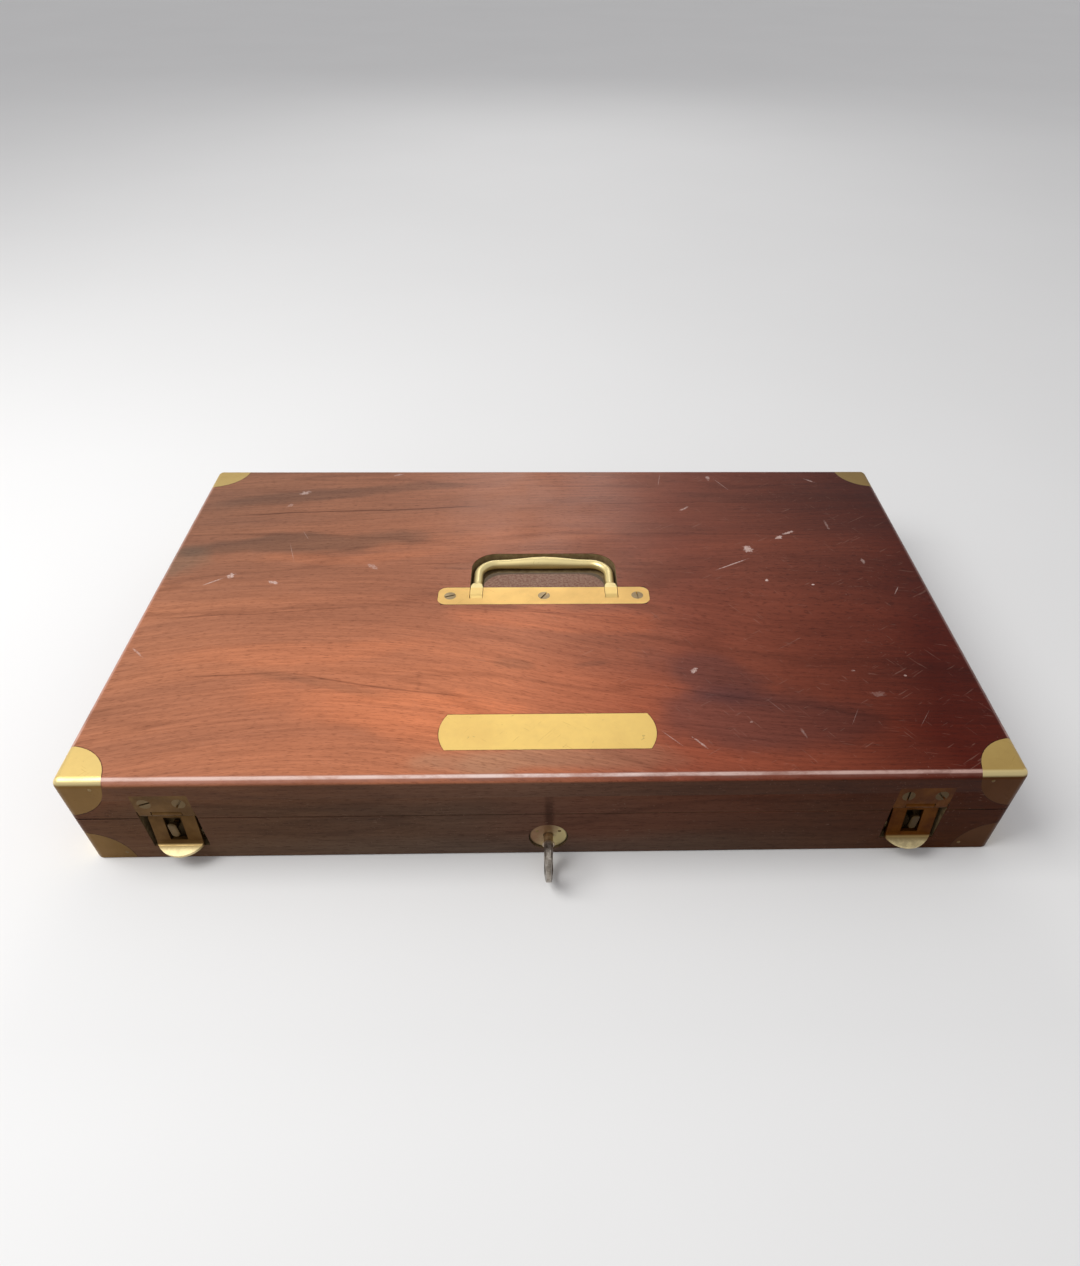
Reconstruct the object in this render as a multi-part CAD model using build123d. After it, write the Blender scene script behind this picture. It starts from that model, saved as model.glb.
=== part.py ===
"""A brass-bound mahogany case for surgical instruments, closed, with its key in the lock.

Millimetres, +Z up, front towards -Y. The origin is at the middle of the underside.
"""

import os
from math import cos, pi, radians, sin

from build123d import *

# Case
case_width = 450.0
case_depth = 285.0
base_height = 31.0
lid_height = 26.0
wall = 12.0  # thickness of the upright boards
bottom_board = 8.0
top_board = 13.0
edge_radius = 4.2  # of the uprights and round the top
seam_break = 0.4  # small chamfer where lid and base meet
foot_break = 0.6  # small chamfer round the underside

# Brass corners
corner_sheet = 1.3
lid_corner_reach = 23.0
base_corner_reach = 20.5

# Handle, let into the lid
handle_x = -1.2
handle_y = -3.4
handle_plate_width = 121.0
handle_plate_depth = 16.0
handle_plate_thickness = 2.2
handle_plate_corner = 5.0
handle_screw_spacing = 53.6
handle_screw_length = 11.0
bail_spacing = 77.7  # between the legs' centre lines
bail_reach = 36.7  # from the pivots to the middle of the grip
bail_leg_radius = 2.6
bail_grip_radius = 3.7
bail_bend_radius = 11.5
bail_bow = 1.4
bail_sunk = 0.3  # top of the grip below the lid's face
bail_stations = 9  # sections that shape the grip
ear_width = 7.0
ear_length = 13.0  # from the pivot to the leaf's point
ear_taper = 3.0  # length of the slope under the point
ear_gap = 0.45
ear_under = 0.1  # top of the ears below the lid's face
ear_leaf = 0.75  # width of the leaf's sides halfway to its point, of its full width
pivot_forward = 1.9  # pivots behind the plate's centre line
pivot_pin_radius = 1.2
lug_thickness = 3.0
lug_width = 6.0
lug_under_pin = 1.3
island_y = 19.3
island_corner = 9.0
recess_corner = 15.0

# Name plate, bare
name_plate_x = 0.4
name_plate_from_front = 30.1
name_plate_width = 105.0
name_plate_depth = 23.8
name_plate_thickness = 1.5
name_plate_bulge = 3.5  # how far each rounded end stands out

# Hasps
hasp_from_end = 45.6  # of the case
leaf_width = 26.5
leaf_height = 11.4
leaf_thickness = 1.6
leaf_screw_spacing = 16.0
leaf_screw_length = 9.0
barrel_radius = 2.3
barrel_sunk = 0.3  # barrel's front below the case's face
barrel_above_seam = 2.2
hasp_pin_radius = 1.1
strap_width = 22.2
strap_thickness = 1.8
strap_knuckle_width = 14.0
strap_lean = 9.5  # degrees outward from upright
strap_flat_end = 13.8  # height above the underside where the lip begins
slot_width = 8.4
slot_bottom = 14.6
slot_top = 28.6
lip_bend_radius = 3.4
lip_bend = 68.0  # degrees
lip_length = 5.3
lip_end_radius = 12.5
mortise_width = 27.0
mortise_bottom = 9.6
latch_plate_thickness = 1.1
latch_plate_gap = 0.4

# Turn-buttons
button_z = 22.6
button_length = 9.6
button_width = 4.0
button_thickness = 1.8
button_sunk = 0.7  # button's back below the case's face
button_edge = 0.5
button_post_radius = 1.5
button_rivet_radius = 2.6
button_rivet = 1.0

# Lock
lock_x = 0.2
key_z = 13.0
escutcheon_radius = 9.5
escutcheon_sunk = 1.0
escutcheon_thickness = 1.2
escutcheon_edge = 0.4  # its chamfer
escutcheon_gap = 0.2
lock_skin = 3.4  # wood in front of the lock
lock_width = 54.0
lock_bottom = 3.6
lock_sheet = 1.2
selvedge_width = 70.0
selvedge_thickness = 1.6
curtain_radius = 7.0
curtain_flange_radius = 7.8
curtain_flange = 0.8
curtain_gap = 0.1
bolt_throw = 6.0
bolt_thickness = 2.1
bolt_sunk = 6.9  # bolt's front below the case's face
bolt_bottom_above_key = 4.6
bolt_top_below_seam = 4.1
bolt_tail = 1.3  # beyond the left eye's room
bolt_heel = 3.3  # beyond the right eye
eye_spacing = 30.0
eye_width = 2.6
eye_leg = 1.1
eye_bar = 2.0
prong_height = 2.8
eye_gap = 0.2  # in front of the bolt and behind it
eye_room = 0.7  # at each side of an eye
stud_radius = 1.2
stud_spacing = 8.8
stud_drop = 0.4

# Key
key_shank_radius = 2.3
key_bore_radius = 1.1
key_post_radius = 1.0
key_bit_reach = 6.0
key_bit_thickness = 1.9
key_bit_gap = 0.15  # round the bit in the curtain
key_collar_radius = 3.0
key_collar_at = 3.6  # collar's start in front of the case's face
key_collar_length = 1.8
key_collar_edge = 0.6
key_bow_radius = 10.0
key_bow_thickness = 4.4
key_bow_tip = 1.8  # its thickness at the far end
key_bow_swell = 0.9  # its thickness before the middle, of that at the collar
key_bow_ring = 3.6
key_bow_edge = 1.0
key_bow_sunk = 0.8  # overlap of the ring and the collar
key_bore_start = 0.6  # in front of the lock's room

# Lid hinges
hinge_from_end = 85.0  # of the case
hinge_length = 50.0
hinge_leaf_thickness = 1.5
hinge_leaf_width = 9.0  # of wood covered by each leaf
hinge_barrel_radius = 2.7
hinge_axis_out = 1.3  # axis behind the case's back face
hinge_pin_radius = 1.3
hinge_knuckles = 5
knuckle_gap = 0.1

# Inside
lining = 1.2
lining_below_rim = 2.0
rack_thickness = 12.0
rack_height = 15.5
rack_notches = 7
rack_notch_radius = 7.0
rack_end_gap = 0.5
rack_from_end = 85.0  # of the case
cushion_thickness = 6.0
cushion_gap = 0.6

# Wood screws and fits
screw_shank_radius = 1.6
screw_slot = 0.9
big_head = 3.4
small_head = 3.1
first_slot_turn = 20  # degrees
next_slot_turn = 37
running = 0.05  # radial clearance of a pin in its hole
clear = 0.3  # between pieces that pass each other

half_w = case_width / 2
half_d = case_depth / 2
case_height = base_height + lid_height
seam = base_height
front_face = -half_d
inside_w = half_w - wall
inside_d = half_d - wall
hasp_x = half_w - hasp_from_end
hinge_x = half_w - hinge_from_end
rack_x = half_w - rack_from_end
made = {}


def block(x0, x1, y0, y1, z0, z1):
    """A box between two corners."""
    middle = Pos((x0 + x1) / 2, (y0 + y1) / 2, (z0 + z1) / 2)
    return middle * Box(abs(x1 - x0), abs(y1 - y0), abs(z1 - z0))


def sunk(depth):
    """The y that lies this far behind the front face."""
    return front_face + depth


def rod(axis, radius, start, end):
    """A round bar from one point to another along X, Y or Z."""
    turn = {"X": Rot(0, 90, 0), "Y": Rot(-90, 0, 0), "Z": Rot(0, 0, 0)}[axis]
    length = (Vector(*end) - Vector(*start)).length
    middle = (Vector(*end) + Vector(*start)) * 0.5
    return Pos(*middle) * turn * Cylinder(radius, length)


def prism_x(face, x, width):
    """A face drawn in (y, z), made solid across X about x."""
    return Pos(x, 0, 0) * extrude(Plane.YZ * face, amount=width / 2, both=True)


def plan(face, z0, z1):
    """A face drawn in (x, y), made solid from z0 up to z1."""
    return extrude(Pos(0, 0, z0) * face, amount=z1 - z0)


def save(name, *shapes):
    """Writes one sub-part, which may be several like solids, to its own STEP file."""
    solids = [solid for shape in shapes for solid in shape.solids()]
    made[name] = solids
    export_step(solids[0] if len(solids) == 1 else Compound(solids), f"parts/{name}.step")


def four_corners(shape):
    """The shape at the right front corner, and its reflections at the other three."""
    right = [shape, mirror(shape, about=Plane.XZ)]
    return right + [mirror(each, about=Plane.YZ) for each in right]


def left_and_right(shape):
    """The shape on the right-hand side and its reflection on the left."""
    return [mirror(shape, about=Plane.YZ), shape]


# Screws ---------------------------------------------------------------------------------------


def screw_body(head, length):
    """A countersunk wood screw's outer form, its head's face at z = 0 and its point downward."""
    shank = screw_shank_radius
    profile = Polyline(
        (0, 0), (head, 0), (shank, shank - head), (shank, shank - length), (0, -length), close=True
    )
    return revolve(Plane.XZ * make_face(profile), Axis.Z)


def slotted(head, length, angle):
    """The same screw with its driver slot turned to an angle."""
    slot = Box(2.2 * head, screw_slot, 2 * screw_slot)
    return screw_body(head, length) - Rot(0, 0, angle) * slot


def screws(name, places, head, length):
    """Writes a group of screws, and gives the holes that they fill."""
    turns = [first_slot_turn + i * next_slot_turn for i in range(len(places))]
    save(name, *[place * slotted(head, length, turn) for place, turn in zip(places, turns)])
    return [place * screw_body(head, length) for place in places]


# Carcass --------------------------------------------------------------------------------------


def base_form(inset=0.0):
    """The base's outer form, or the same form this far inside it."""
    form = block(-half_w + inset, half_w - inset, -half_d + inset, half_d - inset, inset, seam)
    form = fillet(form.edges().filter_by(Axis.Z), edge_radius - inset)
    if inset:
        return form
    form = chamfer(form.faces().sort_by(Axis.Z)[0].edges(), foot_break)
    return chamfer(form.faces().sort_by(Axis.Z)[-1].edges(), seam_break)


def lid_form(inset=0.0):
    """The lid's outer form, or the same form this far inside it."""
    top = case_height - inset
    form = block(-half_w + inset, half_w - inset, -half_d + inset, half_d - inset, seam, top)
    form = fillet(form.edges().filter_by(Axis.Z), edge_radius - inset)
    form = fillet(form.faces().sort_by(Axis.Z)[-1].edges(), edge_radius - inset)
    if inset:
        return form
    return chamfer(form.faces().sort_by(Axis.Z)[0].edges(), seam_break)


def upright_boards(form, z0, z1):
    """Four boards mitred at the corners, cut to the case's outer form."""
    w, d, t = half_w, half_d, wall
    plans = {
        "front": [(-w, -d), (w, -d), (w - t, -d + t), (-w + t, -d + t)],
        "back": [(w, d), (-w, d), (-w + t, d - t), (w - t, d - t)],
        "left": [(-w, d), (-w, -d), (-w + t, -d + t), (-w + t, d - t)],
        "right": [(w, -d), (w, d), (w - t, d - t), (w - t, -d + t)],
    }
    return {
        side: plan(make_face(Polyline(*points, close=True)), z0, z1) & form
        for side, points in plans.items()
    }


def brass_corner(form, inner, z, reach):
    """A sheet corner that follows the case's form, rounded to one radius on each face."""
    x, y = half_w, -half_d
    rounds = (
        rod("X", reach, (x - reach, y, z), (x, y, z))
        & rod("Y", reach, (x, y, z), (x, y + reach, z))
        & rod("Z", reach, (x, y, z - reach), (x, y, z + reach))
    )
    return (form - inner) & rounds


os.makedirs("parts", exist_ok=True)
base_outer, lid_outer = base_form(), lid_form()
base_boards = upright_boards(base_outer, 0, seam)
lid_boards = upright_boards(lid_outer, seam, case_height - top_board)
lid_panel = block(-half_w, half_w, -half_d, half_d, case_height - top_board, case_height)
lid_panel = lid_panel & lid_outer
base_panel = block(-inside_w, inside_w, -inside_d, inside_d, 0, bottom_board)

lid_corner = brass_corner(lid_outer, lid_form(corner_sheet), case_height, lid_corner_reach)
base_corner = brass_corner(base_outer, base_form(corner_sheet), 0, base_corner_reach)
lid_corners, base_corners = four_corners(lid_corner), four_corners(base_corner)
corner_names = ["front_right", "back_right", "front_left", "back_left"]
for place, lid_brass, base_brass in zip(corner_names, lid_corners, base_corners):
    save(f"lid_corner_{place}", lid_brass)
    save(f"base_corner_{place}", base_brass)
lid_cuts = {"panel": list(lid_corners), "front": [], "back": []}
base_cuts = {"front": [], "back": []}

# Name plate -----------------------------------------------------------------------------------

half_plate = name_plate_width / 2
plate_y = front_face + name_plate_from_front
y0, y1 = plate_y - name_plate_depth / 2, plate_y + name_plate_depth / 2
x0, x1 = name_plate_x - half_plate, name_plate_x + half_plate
outline = [
    Line((x0 + name_plate_bulge, y0), (x1 - name_plate_bulge, y0)),
    ThreePointArc((x1 - name_plate_bulge, y0), (x1, plate_y), (x1 - name_plate_bulge, y1)),
    Line((x1 - name_plate_bulge, y1), (x0 + name_plate_bulge, y1)),
    ThreePointArc((x0 + name_plate_bulge, y1), (x0, plate_y), (x0 + name_plate_bulge, y0)),
]
name_plate = plan(make_face(outline), case_height - name_plate_thickness, case_height)
save("name_plate", name_plate)
lid_cuts["panel"].append(name_plate)

# Handle ---------------------------------------------------------------------------------------

pivot_y = handle_y + pivot_forward
pivot_z = case_height - bail_sunk - bail_grip_radius
ear_radius = bail_grip_radius + bail_sunk - ear_under
grip_y = pivot_y + bail_reach - bail_bow
recess_depth = bail_sunk + 2 * bail_grip_radius + clear
recess_half = bail_spacing / 2 + ear_width / 2 + ear_gap
recess_y = pivot_y + bail_reach + bail_grip_radius + clear
ear_front = pivot_y - ear_radius - clear
ear_places = [handle_x - bail_spacing / 2, handle_x + bail_spacing / 2]


def grip():
    """The grip, swelling and bowing outward towards its middle."""
    half = bail_spacing / 2 - bail_bend_radius
    sections = []
    for i in range(bail_stations):
        at = 2 * i / (bail_stations - 1) - 1
        swell = (1 + cos(pi * at)) / 2
        radius = bail_leg_radius + (bail_grip_radius - bail_leg_radius) * swell
        centre = (handle_x + at * half, grip_y + bail_bow * swell, pivot_z)
        sections.append(Plane(origin=centre, x_dir=(0, 1, 0), z_dir=(1, 0, 0)) * Circle(radius))
    return loft(sections, ruled=True)


def leg(side):
    """A leg and its bend, on the left (-1) or right (1)."""
    x = handle_x + side * bail_spacing / 2
    bend_y = grip_y - bail_bend_radius
    end = (x - side * bail_bend_radius, grip_y, pivot_z)
    start = (x, pivot_y + ear_radius, pivot_z)
    path = Line(start, (x, bend_y, pivot_z)) + TangentArc(
        (x, bend_y, pivot_z), end, tangent=(0, 1, 0)
    )
    section = Plane(origin=start, x_dir=(1, 0, 0), z_dir=(0, 1, 0)) * Circle(bail_leg_radius)
    return sweep(section, path=path)


def ear(x):
    """A leaf-shaped ear about the pivot, flush with the plate when the bail lies down."""
    half = ear_width / 2
    front, shoulder = pivot_y - ear_radius, pivot_y + ear_length / 2
    tip = pivot_y + ear_length
    leaf = [
        Line((x - half, front), (x + half, front)),
        Line((x + half, front), (x + half, shoulder)),
        ThreePointArc((x + half, shoulder), (x + ear_leaf * half, (shoulder + tip) / 2), (x, tip)),
        ThreePointArc((x, tip), (x - ear_leaf * half, (shoulder + tip) / 2), (x - half, shoulder)),
        Line((x - half, shoulder), (x - half, front)),
    ]
    seen_above = plan(make_face(leaf), pivot_z - ear_radius, pivot_z + ear_radius)
    under = Polyline(
        (pivot_y, pivot_z - ear_radius), (pivot_y, pivot_z + ear_radius),
        (tip - ear_taper, pivot_z + ear_radius), (tip, pivot_z + bail_leg_radius),
        (tip, pivot_z - bail_leg_radius), close=True,
    )
    side = make_face(under) + Pos(pivot_y, pivot_z) * Circle(ear_radius)
    return seen_above & prism_x(side, x, ear_width)


handle_top = case_height
plate_low = handle_top - handle_plate_thickness
plate_outline = RectangleRounded(handle_plate_width, handle_plate_depth, handle_plate_corner)
handle_plate = plan(Pos(handle_x, handle_y) * plate_outline, plate_low, handle_top)
handle_pocket = handle_plate
back_edge = handle_y + handle_plate_depth / 2
lug_low = pivot_z - pivot_pin_radius - lug_under_pin
lug_front, lug_back = pivot_y - lug_width / 2, pivot_y + lug_width / 2
pins, pin_holes, ears = [], [], []
slots, lugs, lug_pockets = [], [], []
for x in ear_places:
    half = ear_width / 2 + clear
    outer = half + lug_thickness
    slots.append(block(x - half, x + half, ear_front, back_edge + 1, plate_low, handle_top))
    for near, far in ((x - outer, x - half), (x + half, x + outer)):
        lugs.append(block(near, far, lug_front, lug_back, lug_low, plate_low))
    lug_pockets.append(
        block(x - outer, x + outer, ear_front, lug_back, case_height - recess_depth, plate_low)
    )
    ends = (x - outer, pivot_y, pivot_z), (x + outer, pivot_y, pivot_z)
    pins.append(rod("X", pivot_pin_radius, *ends))
    pin_holes.append(rod("X", pivot_pin_radius + running, *ends))
    ears.append(ear(x))

screw_places = [Pos(handle_x + i * handle_screw_spacing, handle_y, handle_top) for i in (-1, 0, 1)]
handle_holes = screws("handle_plate_screws", screw_places, big_head, handle_screw_length)
handle_plate = handle_plate - slots
for lug in lugs:
    handle_plate = handle_plate + lug
save("handle_plate", handle_plate - (pins + handle_holes))
save("handle_pivot_pins", *pins)
bail = grip() + leg(-1) + leg(1) + ears[0] + ears[1]
save("handle_bail", bail - pin_holes)

channel_middle, island_middle = (ear_front + recess_y) / 2, (ear_front + island_y) / 2
channel = Pos(handle_x, channel_middle) * Rectangle(2 * recess_half, recess_y - ear_front)
channel = fillet(channel.vertices().group_by(Axis.Y)[-1], recess_corner)
island_half = bail_spacing / 2 - ear_width / 2 - ear_gap
island = Pos(handle_x, island_middle) * Rectangle(2 * island_half, island_y - ear_front)
island = fillet(island.vertices().group_by(Axis.Y)[-1], island_corner)
recess = plan(channel - island, case_height - recess_depth, case_height)
lid_cuts["panel"] += [recess, handle_pocket] + lug_pockets + handle_holes

# Hasps ----------------------------------------------------------------------------------------

barrel_y = sunk(barrel_sunk + barrel_radius)
barrel_z = seam + barrel_above_seam
lean = radians(strap_lean)
leaf_bottom = barrel_z + barrel_radius + clear
leaf_top = leaf_bottom + leaf_height
strap_back = barrel_y + barrel_radius  # of the strap, at the barrel's height
latch_plate_y = strap_back + latch_plate_gap
mortise_floor_y = latch_plate_y + latch_plate_thickness


def hasp_leaf(x):
    """The hasp's fixed leaf, let in flush, with a knuckle at each side of the strap's."""
    half = leaf_width / 2
    plate = block(x - half, x + half, front_face, sunk(leaf_thickness), leaf_bottom, leaf_top)
    width = (leaf_width - strap_knuckle_width) / 2 - clear
    knuckles = []
    for side in (-1, 1):
        centre = x + side * (leaf_width - width) / 2
        near, far = centre - width / 2, centre + width / 2
        barrel = rod("X", barrel_radius, (near, barrel_y, barrel_z), (far, barrel_y, barrel_z))
        web = block(near, far, front_face + barrel_sunk, sunk(leaf_thickness), barrel_z, leaf_bottom)
        knuckles += [barrel, web]
    return plate + knuckles


def strap_side():
    """The strap's section: a leaning flat, then a lip curled outward."""
    # Along the flat, unit vectors down it and out of its face.
    down = Vector(-sin(lean), -cos(lean))
    top = Vector(strap_back - strap_thickness / 2 / cos(lean), barrel_z)
    length = (barrel_z - strap_flat_end) / cos(lean)
    bottom = top + down * length
    flat = Line(tuple(top)[:2], tuple(bottom)[:2])
    curl = JernArc(tuple(bottom)[:2], tuple(down)[:2], lip_bend_radius, -lip_bend)
    out = curl % 1
    lip = Line(curl @ 1, (curl @ 1) + out * lip_length)
    middle = flat + curl + lip
    return trace(middle, strap_thickness)


def lip_outline(x):
    """What lies inside the lip's rounded end, seen square to the lip."""
    tip = min(strap_side().vertices(), key=lambda corner: corner.X)
    droop = radians(90 - strap_lean - lip_bend)
    square = (0, -sin(droop), cos(droop))
    facing = Plane(origin=(x, tip.X, tip.Y), x_dir=(1, 0, 0), z_dir=square)
    above = Pos(0, lip_end_radius + lid_height) * Rectangle(strap_width, 2 * lid_height)
    shape = Pos(0, lip_end_radius) * Circle(lip_end_radius) + above
    return extrude(facing * shape, amount=case_height, both=True)


def hasp_strap(x):
    """The hanging strap with its knuckle, button slot and rounded lip."""
    strap = prism_x(strap_side(), x, strap_width) & lip_outline(x)
    half, room = strap_knuckle_width / 2, strap_width
    front = sunk(-1)
    shoulder = barrel_z - barrel_radius - clear
    beside = block(x - room, x + room, front, mortise_floor_y, shoulder, barrel_z + wall)
    between = block(x - half, x + half, front, mortise_floor_y, shoulder - 1, barrel_z + wall)
    slot_half = slot_width / 2
    slot = block(x - slot_half, x + slot_half, front, mortise_floor_y, slot_bottom, slot_top)
    barrel = rod("X", barrel_radius, (x - half, barrel_y, barrel_z), (x + half, barrel_y, barrel_z))
    return strap - (beside - between) - slot + barrel


hasp_pin_ends = (
    (hasp_x - leaf_width / 2, barrel_y, barrel_z),
    (hasp_x + leaf_width / 2, barrel_y, barrel_z),
)
facing_front = Rot(90, 0, 0)
leaf_screw_z = (leaf_bottom + leaf_top) / 2
leaf_screw_x = [
    side * hasp_x + i * leaf_screw_spacing / 2 for side in (-1, 1) for i in (-1, 1)
]
leaf_places = [Pos(x, front_face, leaf_screw_z) * facing_front for x in leaf_screw_x]
leaf_holes = screws("hasp_leaf_screws", leaf_places, small_head, leaf_screw_length)
hasp_pin = rod("X", hasp_pin_radius, *hasp_pin_ends)
strap = hasp_strap(hasp_x) - rod("X", hasp_pin_radius + running, *hasp_pin_ends)
leaf = hasp_leaf(hasp_x) - hasp_pin
hasp_left, hasp_right = hasp_x - mortise_width / 2, hasp_x + mortise_width / 2
latch_plate = block(hasp_left, hasp_right, latch_plate_y, mortise_floor_y, mortise_bottom, seam)
mortise = block(hasp_left, hasp_right, front_face, mortise_floor_y, mortise_bottom, leaf_bottom)
leaf_left, leaf_right = hasp_x - leaf_width / 2, hasp_x + leaf_width / 2
leaf_pocket = block(
    leaf_left, leaf_right, front_face, sunk(leaf_thickness), leaf_bottom, leaf_top
)


def button_part(radius, front, back):
    """A round part of the turn-button between two depths."""
    return rod("Y", radius, (hasp_x, front, button_z), (hasp_x, back, button_z))


button_front, button_back = sunk(button_sunk - button_thickness), sunk(button_sunk)
oblong = Plane((hasp_x, button_back, button_z), x_dir=(0, 0, 1), z_dir=(0, -1, 0))
oblong = extrude(oblong * SlotOverall(button_length, button_width), amount=button_thickness)
oblong = chamfer(oblong.faces().sort_by(Axis.Y)[0].edges(), button_edge)
rivet_back = mortise_floor_y + button_rivet
button = (
    oblong
    + button_part(button_post_radius, button_back, rivet_back)
    + button_part(button_rivet_radius, mortise_floor_y + running, rivet_back)
)
button_hole = button_part(button_post_radius + running, latch_plate_y, mortise_floor_y)
rivet_room = button_part(button_rivet_radius + clear, mortise_floor_y, rivet_back + clear)
plates = left_and_right(latch_plate - button_hole)
for side, one_leaf, one_strap, one_plate, one_button in zip(
    ("left", "right"), left_and_right(leaf), left_and_right(strap), plates, left_and_right(button)
):
    save(f"hasp_leaf_{side}", one_leaf - leaf_holes)
    save(f"hasp_strap_{side}", one_strap)
    save(f"latch_plate_{side}", one_plate)
    save(f"turn_button_{side}", one_button)
save("hasp_pins", *left_and_right(hasp_pin))
lid_cuts["front"] += left_and_right(mortise) + left_and_right(leaf_pocket) + leaf_holes
lid_cuts["panel"] += left_and_right(leaf_pocket) + leaf_holes
base_cuts["front"] += left_and_right(mortise) + left_and_right(rivet_room)

# Lock -----------------------------------------------------------------------------------------

case_back = sunk(wall)
case_front = sunk(lock_skin)
cavity_front = case_front + lock_sheet
cap_front = case_back - lock_sheet
selvedge_low = seam - selvedge_thickness
bolt_front, bolt_back = sunk(bolt_sunk), sunk(bolt_sunk + bolt_thickness)
bolt_low = key_z + bolt_bottom_above_key
bolt_high = seam - bolt_top_below_seam
eye_places = [lock_x - eye_spacing / 2, lock_x + eye_spacing / 2]
eye_front, eye_back = bolt_front - eye_gap - eye_leg, bolt_back + eye_gap + eye_leg
prong_low = bolt_high - prong_height
eye_bar_low = prong_low - clear - eye_bar
bit_inner = sunk(bolt_sunk + bolt_thickness + clear)  # inner end of the key


def keyhole(front, back, radius, width, reach):
    """A keyhole's solid between two depths: a round hole with a slot below it."""
    hole = rod("Y", radius, (lock_x, front, key_z), (lock_x, back, key_z))
    slot = block(lock_x - width / 2, lock_x + width / 2, front, back, key_z - reach, key_z)
    return hole + slot


def across_lock(half, front, back, low, high):
    """A block centred on the lock."""
    return block(lock_x - half, lock_x + half, front, back, low, high)


wide_keyhole = (
    key_shank_radius + clear, key_bit_thickness + 2 * clear, key_bit_reach + clear
)
escutcheon_front = sunk(escutcheon_sunk)
escutcheon_back = escutcheon_front + escutcheon_thickness
escutcheon = rod(
    "Y", escutcheon_radius, (lock_x, escutcheon_front, key_z), (lock_x, escutcheon_back, key_z)
)
escutcheon = chamfer(escutcheon.edges().filter_by(GeomType.CIRCLE).sort_by(Axis.Y)[0], escutcheon_edge)
escutcheon_recess = rod(
    "Y", escutcheon_radius + escutcheon_gap,
    (lock_x, front_face, key_z), (lock_x, escutcheon_back, key_z),
)
hole = keyhole(front_face, case_front, *wide_keyhole)
save("escutcheon", escutcheon - hole)

half_lock = lock_width / 2
outer_case = across_lock(half_lock, case_front, case_back, lock_bottom, selvedge_low)
cavity = across_lock(
    half_lock - lock_sheet, cavity_front, case_back, lock_bottom + lock_sheet, selvedge_low
)
selvedge = across_lock(selvedge_width / 2, case_front, case_back, selvedge_low, seam)
slot_half = eye_width / 2 + clear
eye_slots = [
    block(x - slot_half, x + slot_half, eye_front - clear, eye_back + clear, selvedge_low, seam)
    for x in eye_places
]
stud_z = (eye_bar_low + prong_low) / 2 - stud_drop
studs = [
    rod("Y", stud_radius, (x, cavity_front, stud_z), (x, case_back, stud_z))
    for x in (lock_x - stud_spacing / 2, lock_x + stud_spacing / 2)
]
curtain_hole = rod(
    "Y", curtain_radius + running, (lock_x, case_front, key_z), (lock_x, cavity_front, key_z)
)
lock_case = outer_case - cavity + selvedge
for stud in studs:
    lock_case = lock_case + stud
save("lock_case", lock_case - (eye_slots + [curtain_hole]))

key_post = rod("Y", key_post_radius, (lock_x, cavity_front, key_z), (lock_x, cap_front, key_z))
cap = across_lock(
    half_lock - lock_sheet, cap_front, case_back, lock_bottom + lock_sheet, selvedge_low
)
save("lock_cap", cap - studs + key_post)

curtain_front = case_front + curtain_gap
flange_front = cavity_front + curtain_gap
flange_back = flange_front + curtain_flange
curtain = rod("Y", curtain_radius, (lock_x, curtain_front, key_z), (lock_x, flange_back, key_z))
curtain = curtain + rod(
    "Y", curtain_flange_radius, (lock_x, flange_front, key_z), (lock_x, flange_back, key_z)
)
snug_keyhole = (
    key_shank_radius + running, key_bit_thickness + 2 * key_bit_gap, key_bit_reach + key_bit_gap
)
save("lock_curtain", curtain - keyhole(curtain_front, flange_back, *snug_keyhole))

tip = (key_bit_reach**2 + key_bit_thickness**2 / 4) ** 0.5
bite = (tip**2 - bolt_bottom_above_key**2) ** 0.5 + key_bit_thickness
notch_half = eye_width / 2 + eye_room
bolt_left = lock_x - eye_spacing / 2 - bolt_throw - notch_half - bolt_tail
bolt_right = lock_x + eye_spacing / 2 + bolt_heel
bolt = block(bolt_left, bolt_right, bolt_front, bolt_back, bolt_low, bolt_high)
talon_x = lock_x - bolt_throw / 2
talon = block(talon_x - bite, talon_x + bite, bolt_front, bolt_back, bolt_low, key_z + tip + clear)
low = eye_bar_low - clear
notches = []
for x in eye_places:
    notches.append(block(x - notch_half, x + notch_half, bolt_front, bolt_back, low, seam))
    notches.append(block(x - notch_half - bolt_throw, x, bolt_front, bolt_back, low, prong_low))
slot_end = stud_radius + running
guide_x = stud_spacing / 2 + slot_end
guide = block(
    lock_x - guide_x - bolt_throw, lock_x + guide_x, bolt_front, bolt_back,
    stud_z - slot_end, stud_z + slot_end,
)
save("lock_bolt", bolt - (notches + [talon, guide]))

link_top = seam + selvedge_thickness
link_plate = across_lock(selvedge_width / 2, case_front, case_back, seam, link_top)
for x in eye_places:
    near, far = x - eye_width / 2, x + eye_width / 2
    eye = block(near, far, eye_front, eye_back, eye_bar_low, seam)
    link_plate = link_plate + (
        eye - block(near, far, eye_front + eye_leg, eye_back - eye_leg, eye_bar_low + eye_bar, seam)
    )
save("link_plate", link_plate)
link_gain = across_lock(selvedge_width / 2, case_front, case_back, seam, link_top)
lock_gain = across_lock(half_lock, case_front, case_back, lock_bottom, seam)
lid_cuts["front"].append(link_gain)
base_cuts["front"] += [lock_gain, selvedge, escutcheon_recess, hole]

# Key ------------------------------------------------------------------------------------------

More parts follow.
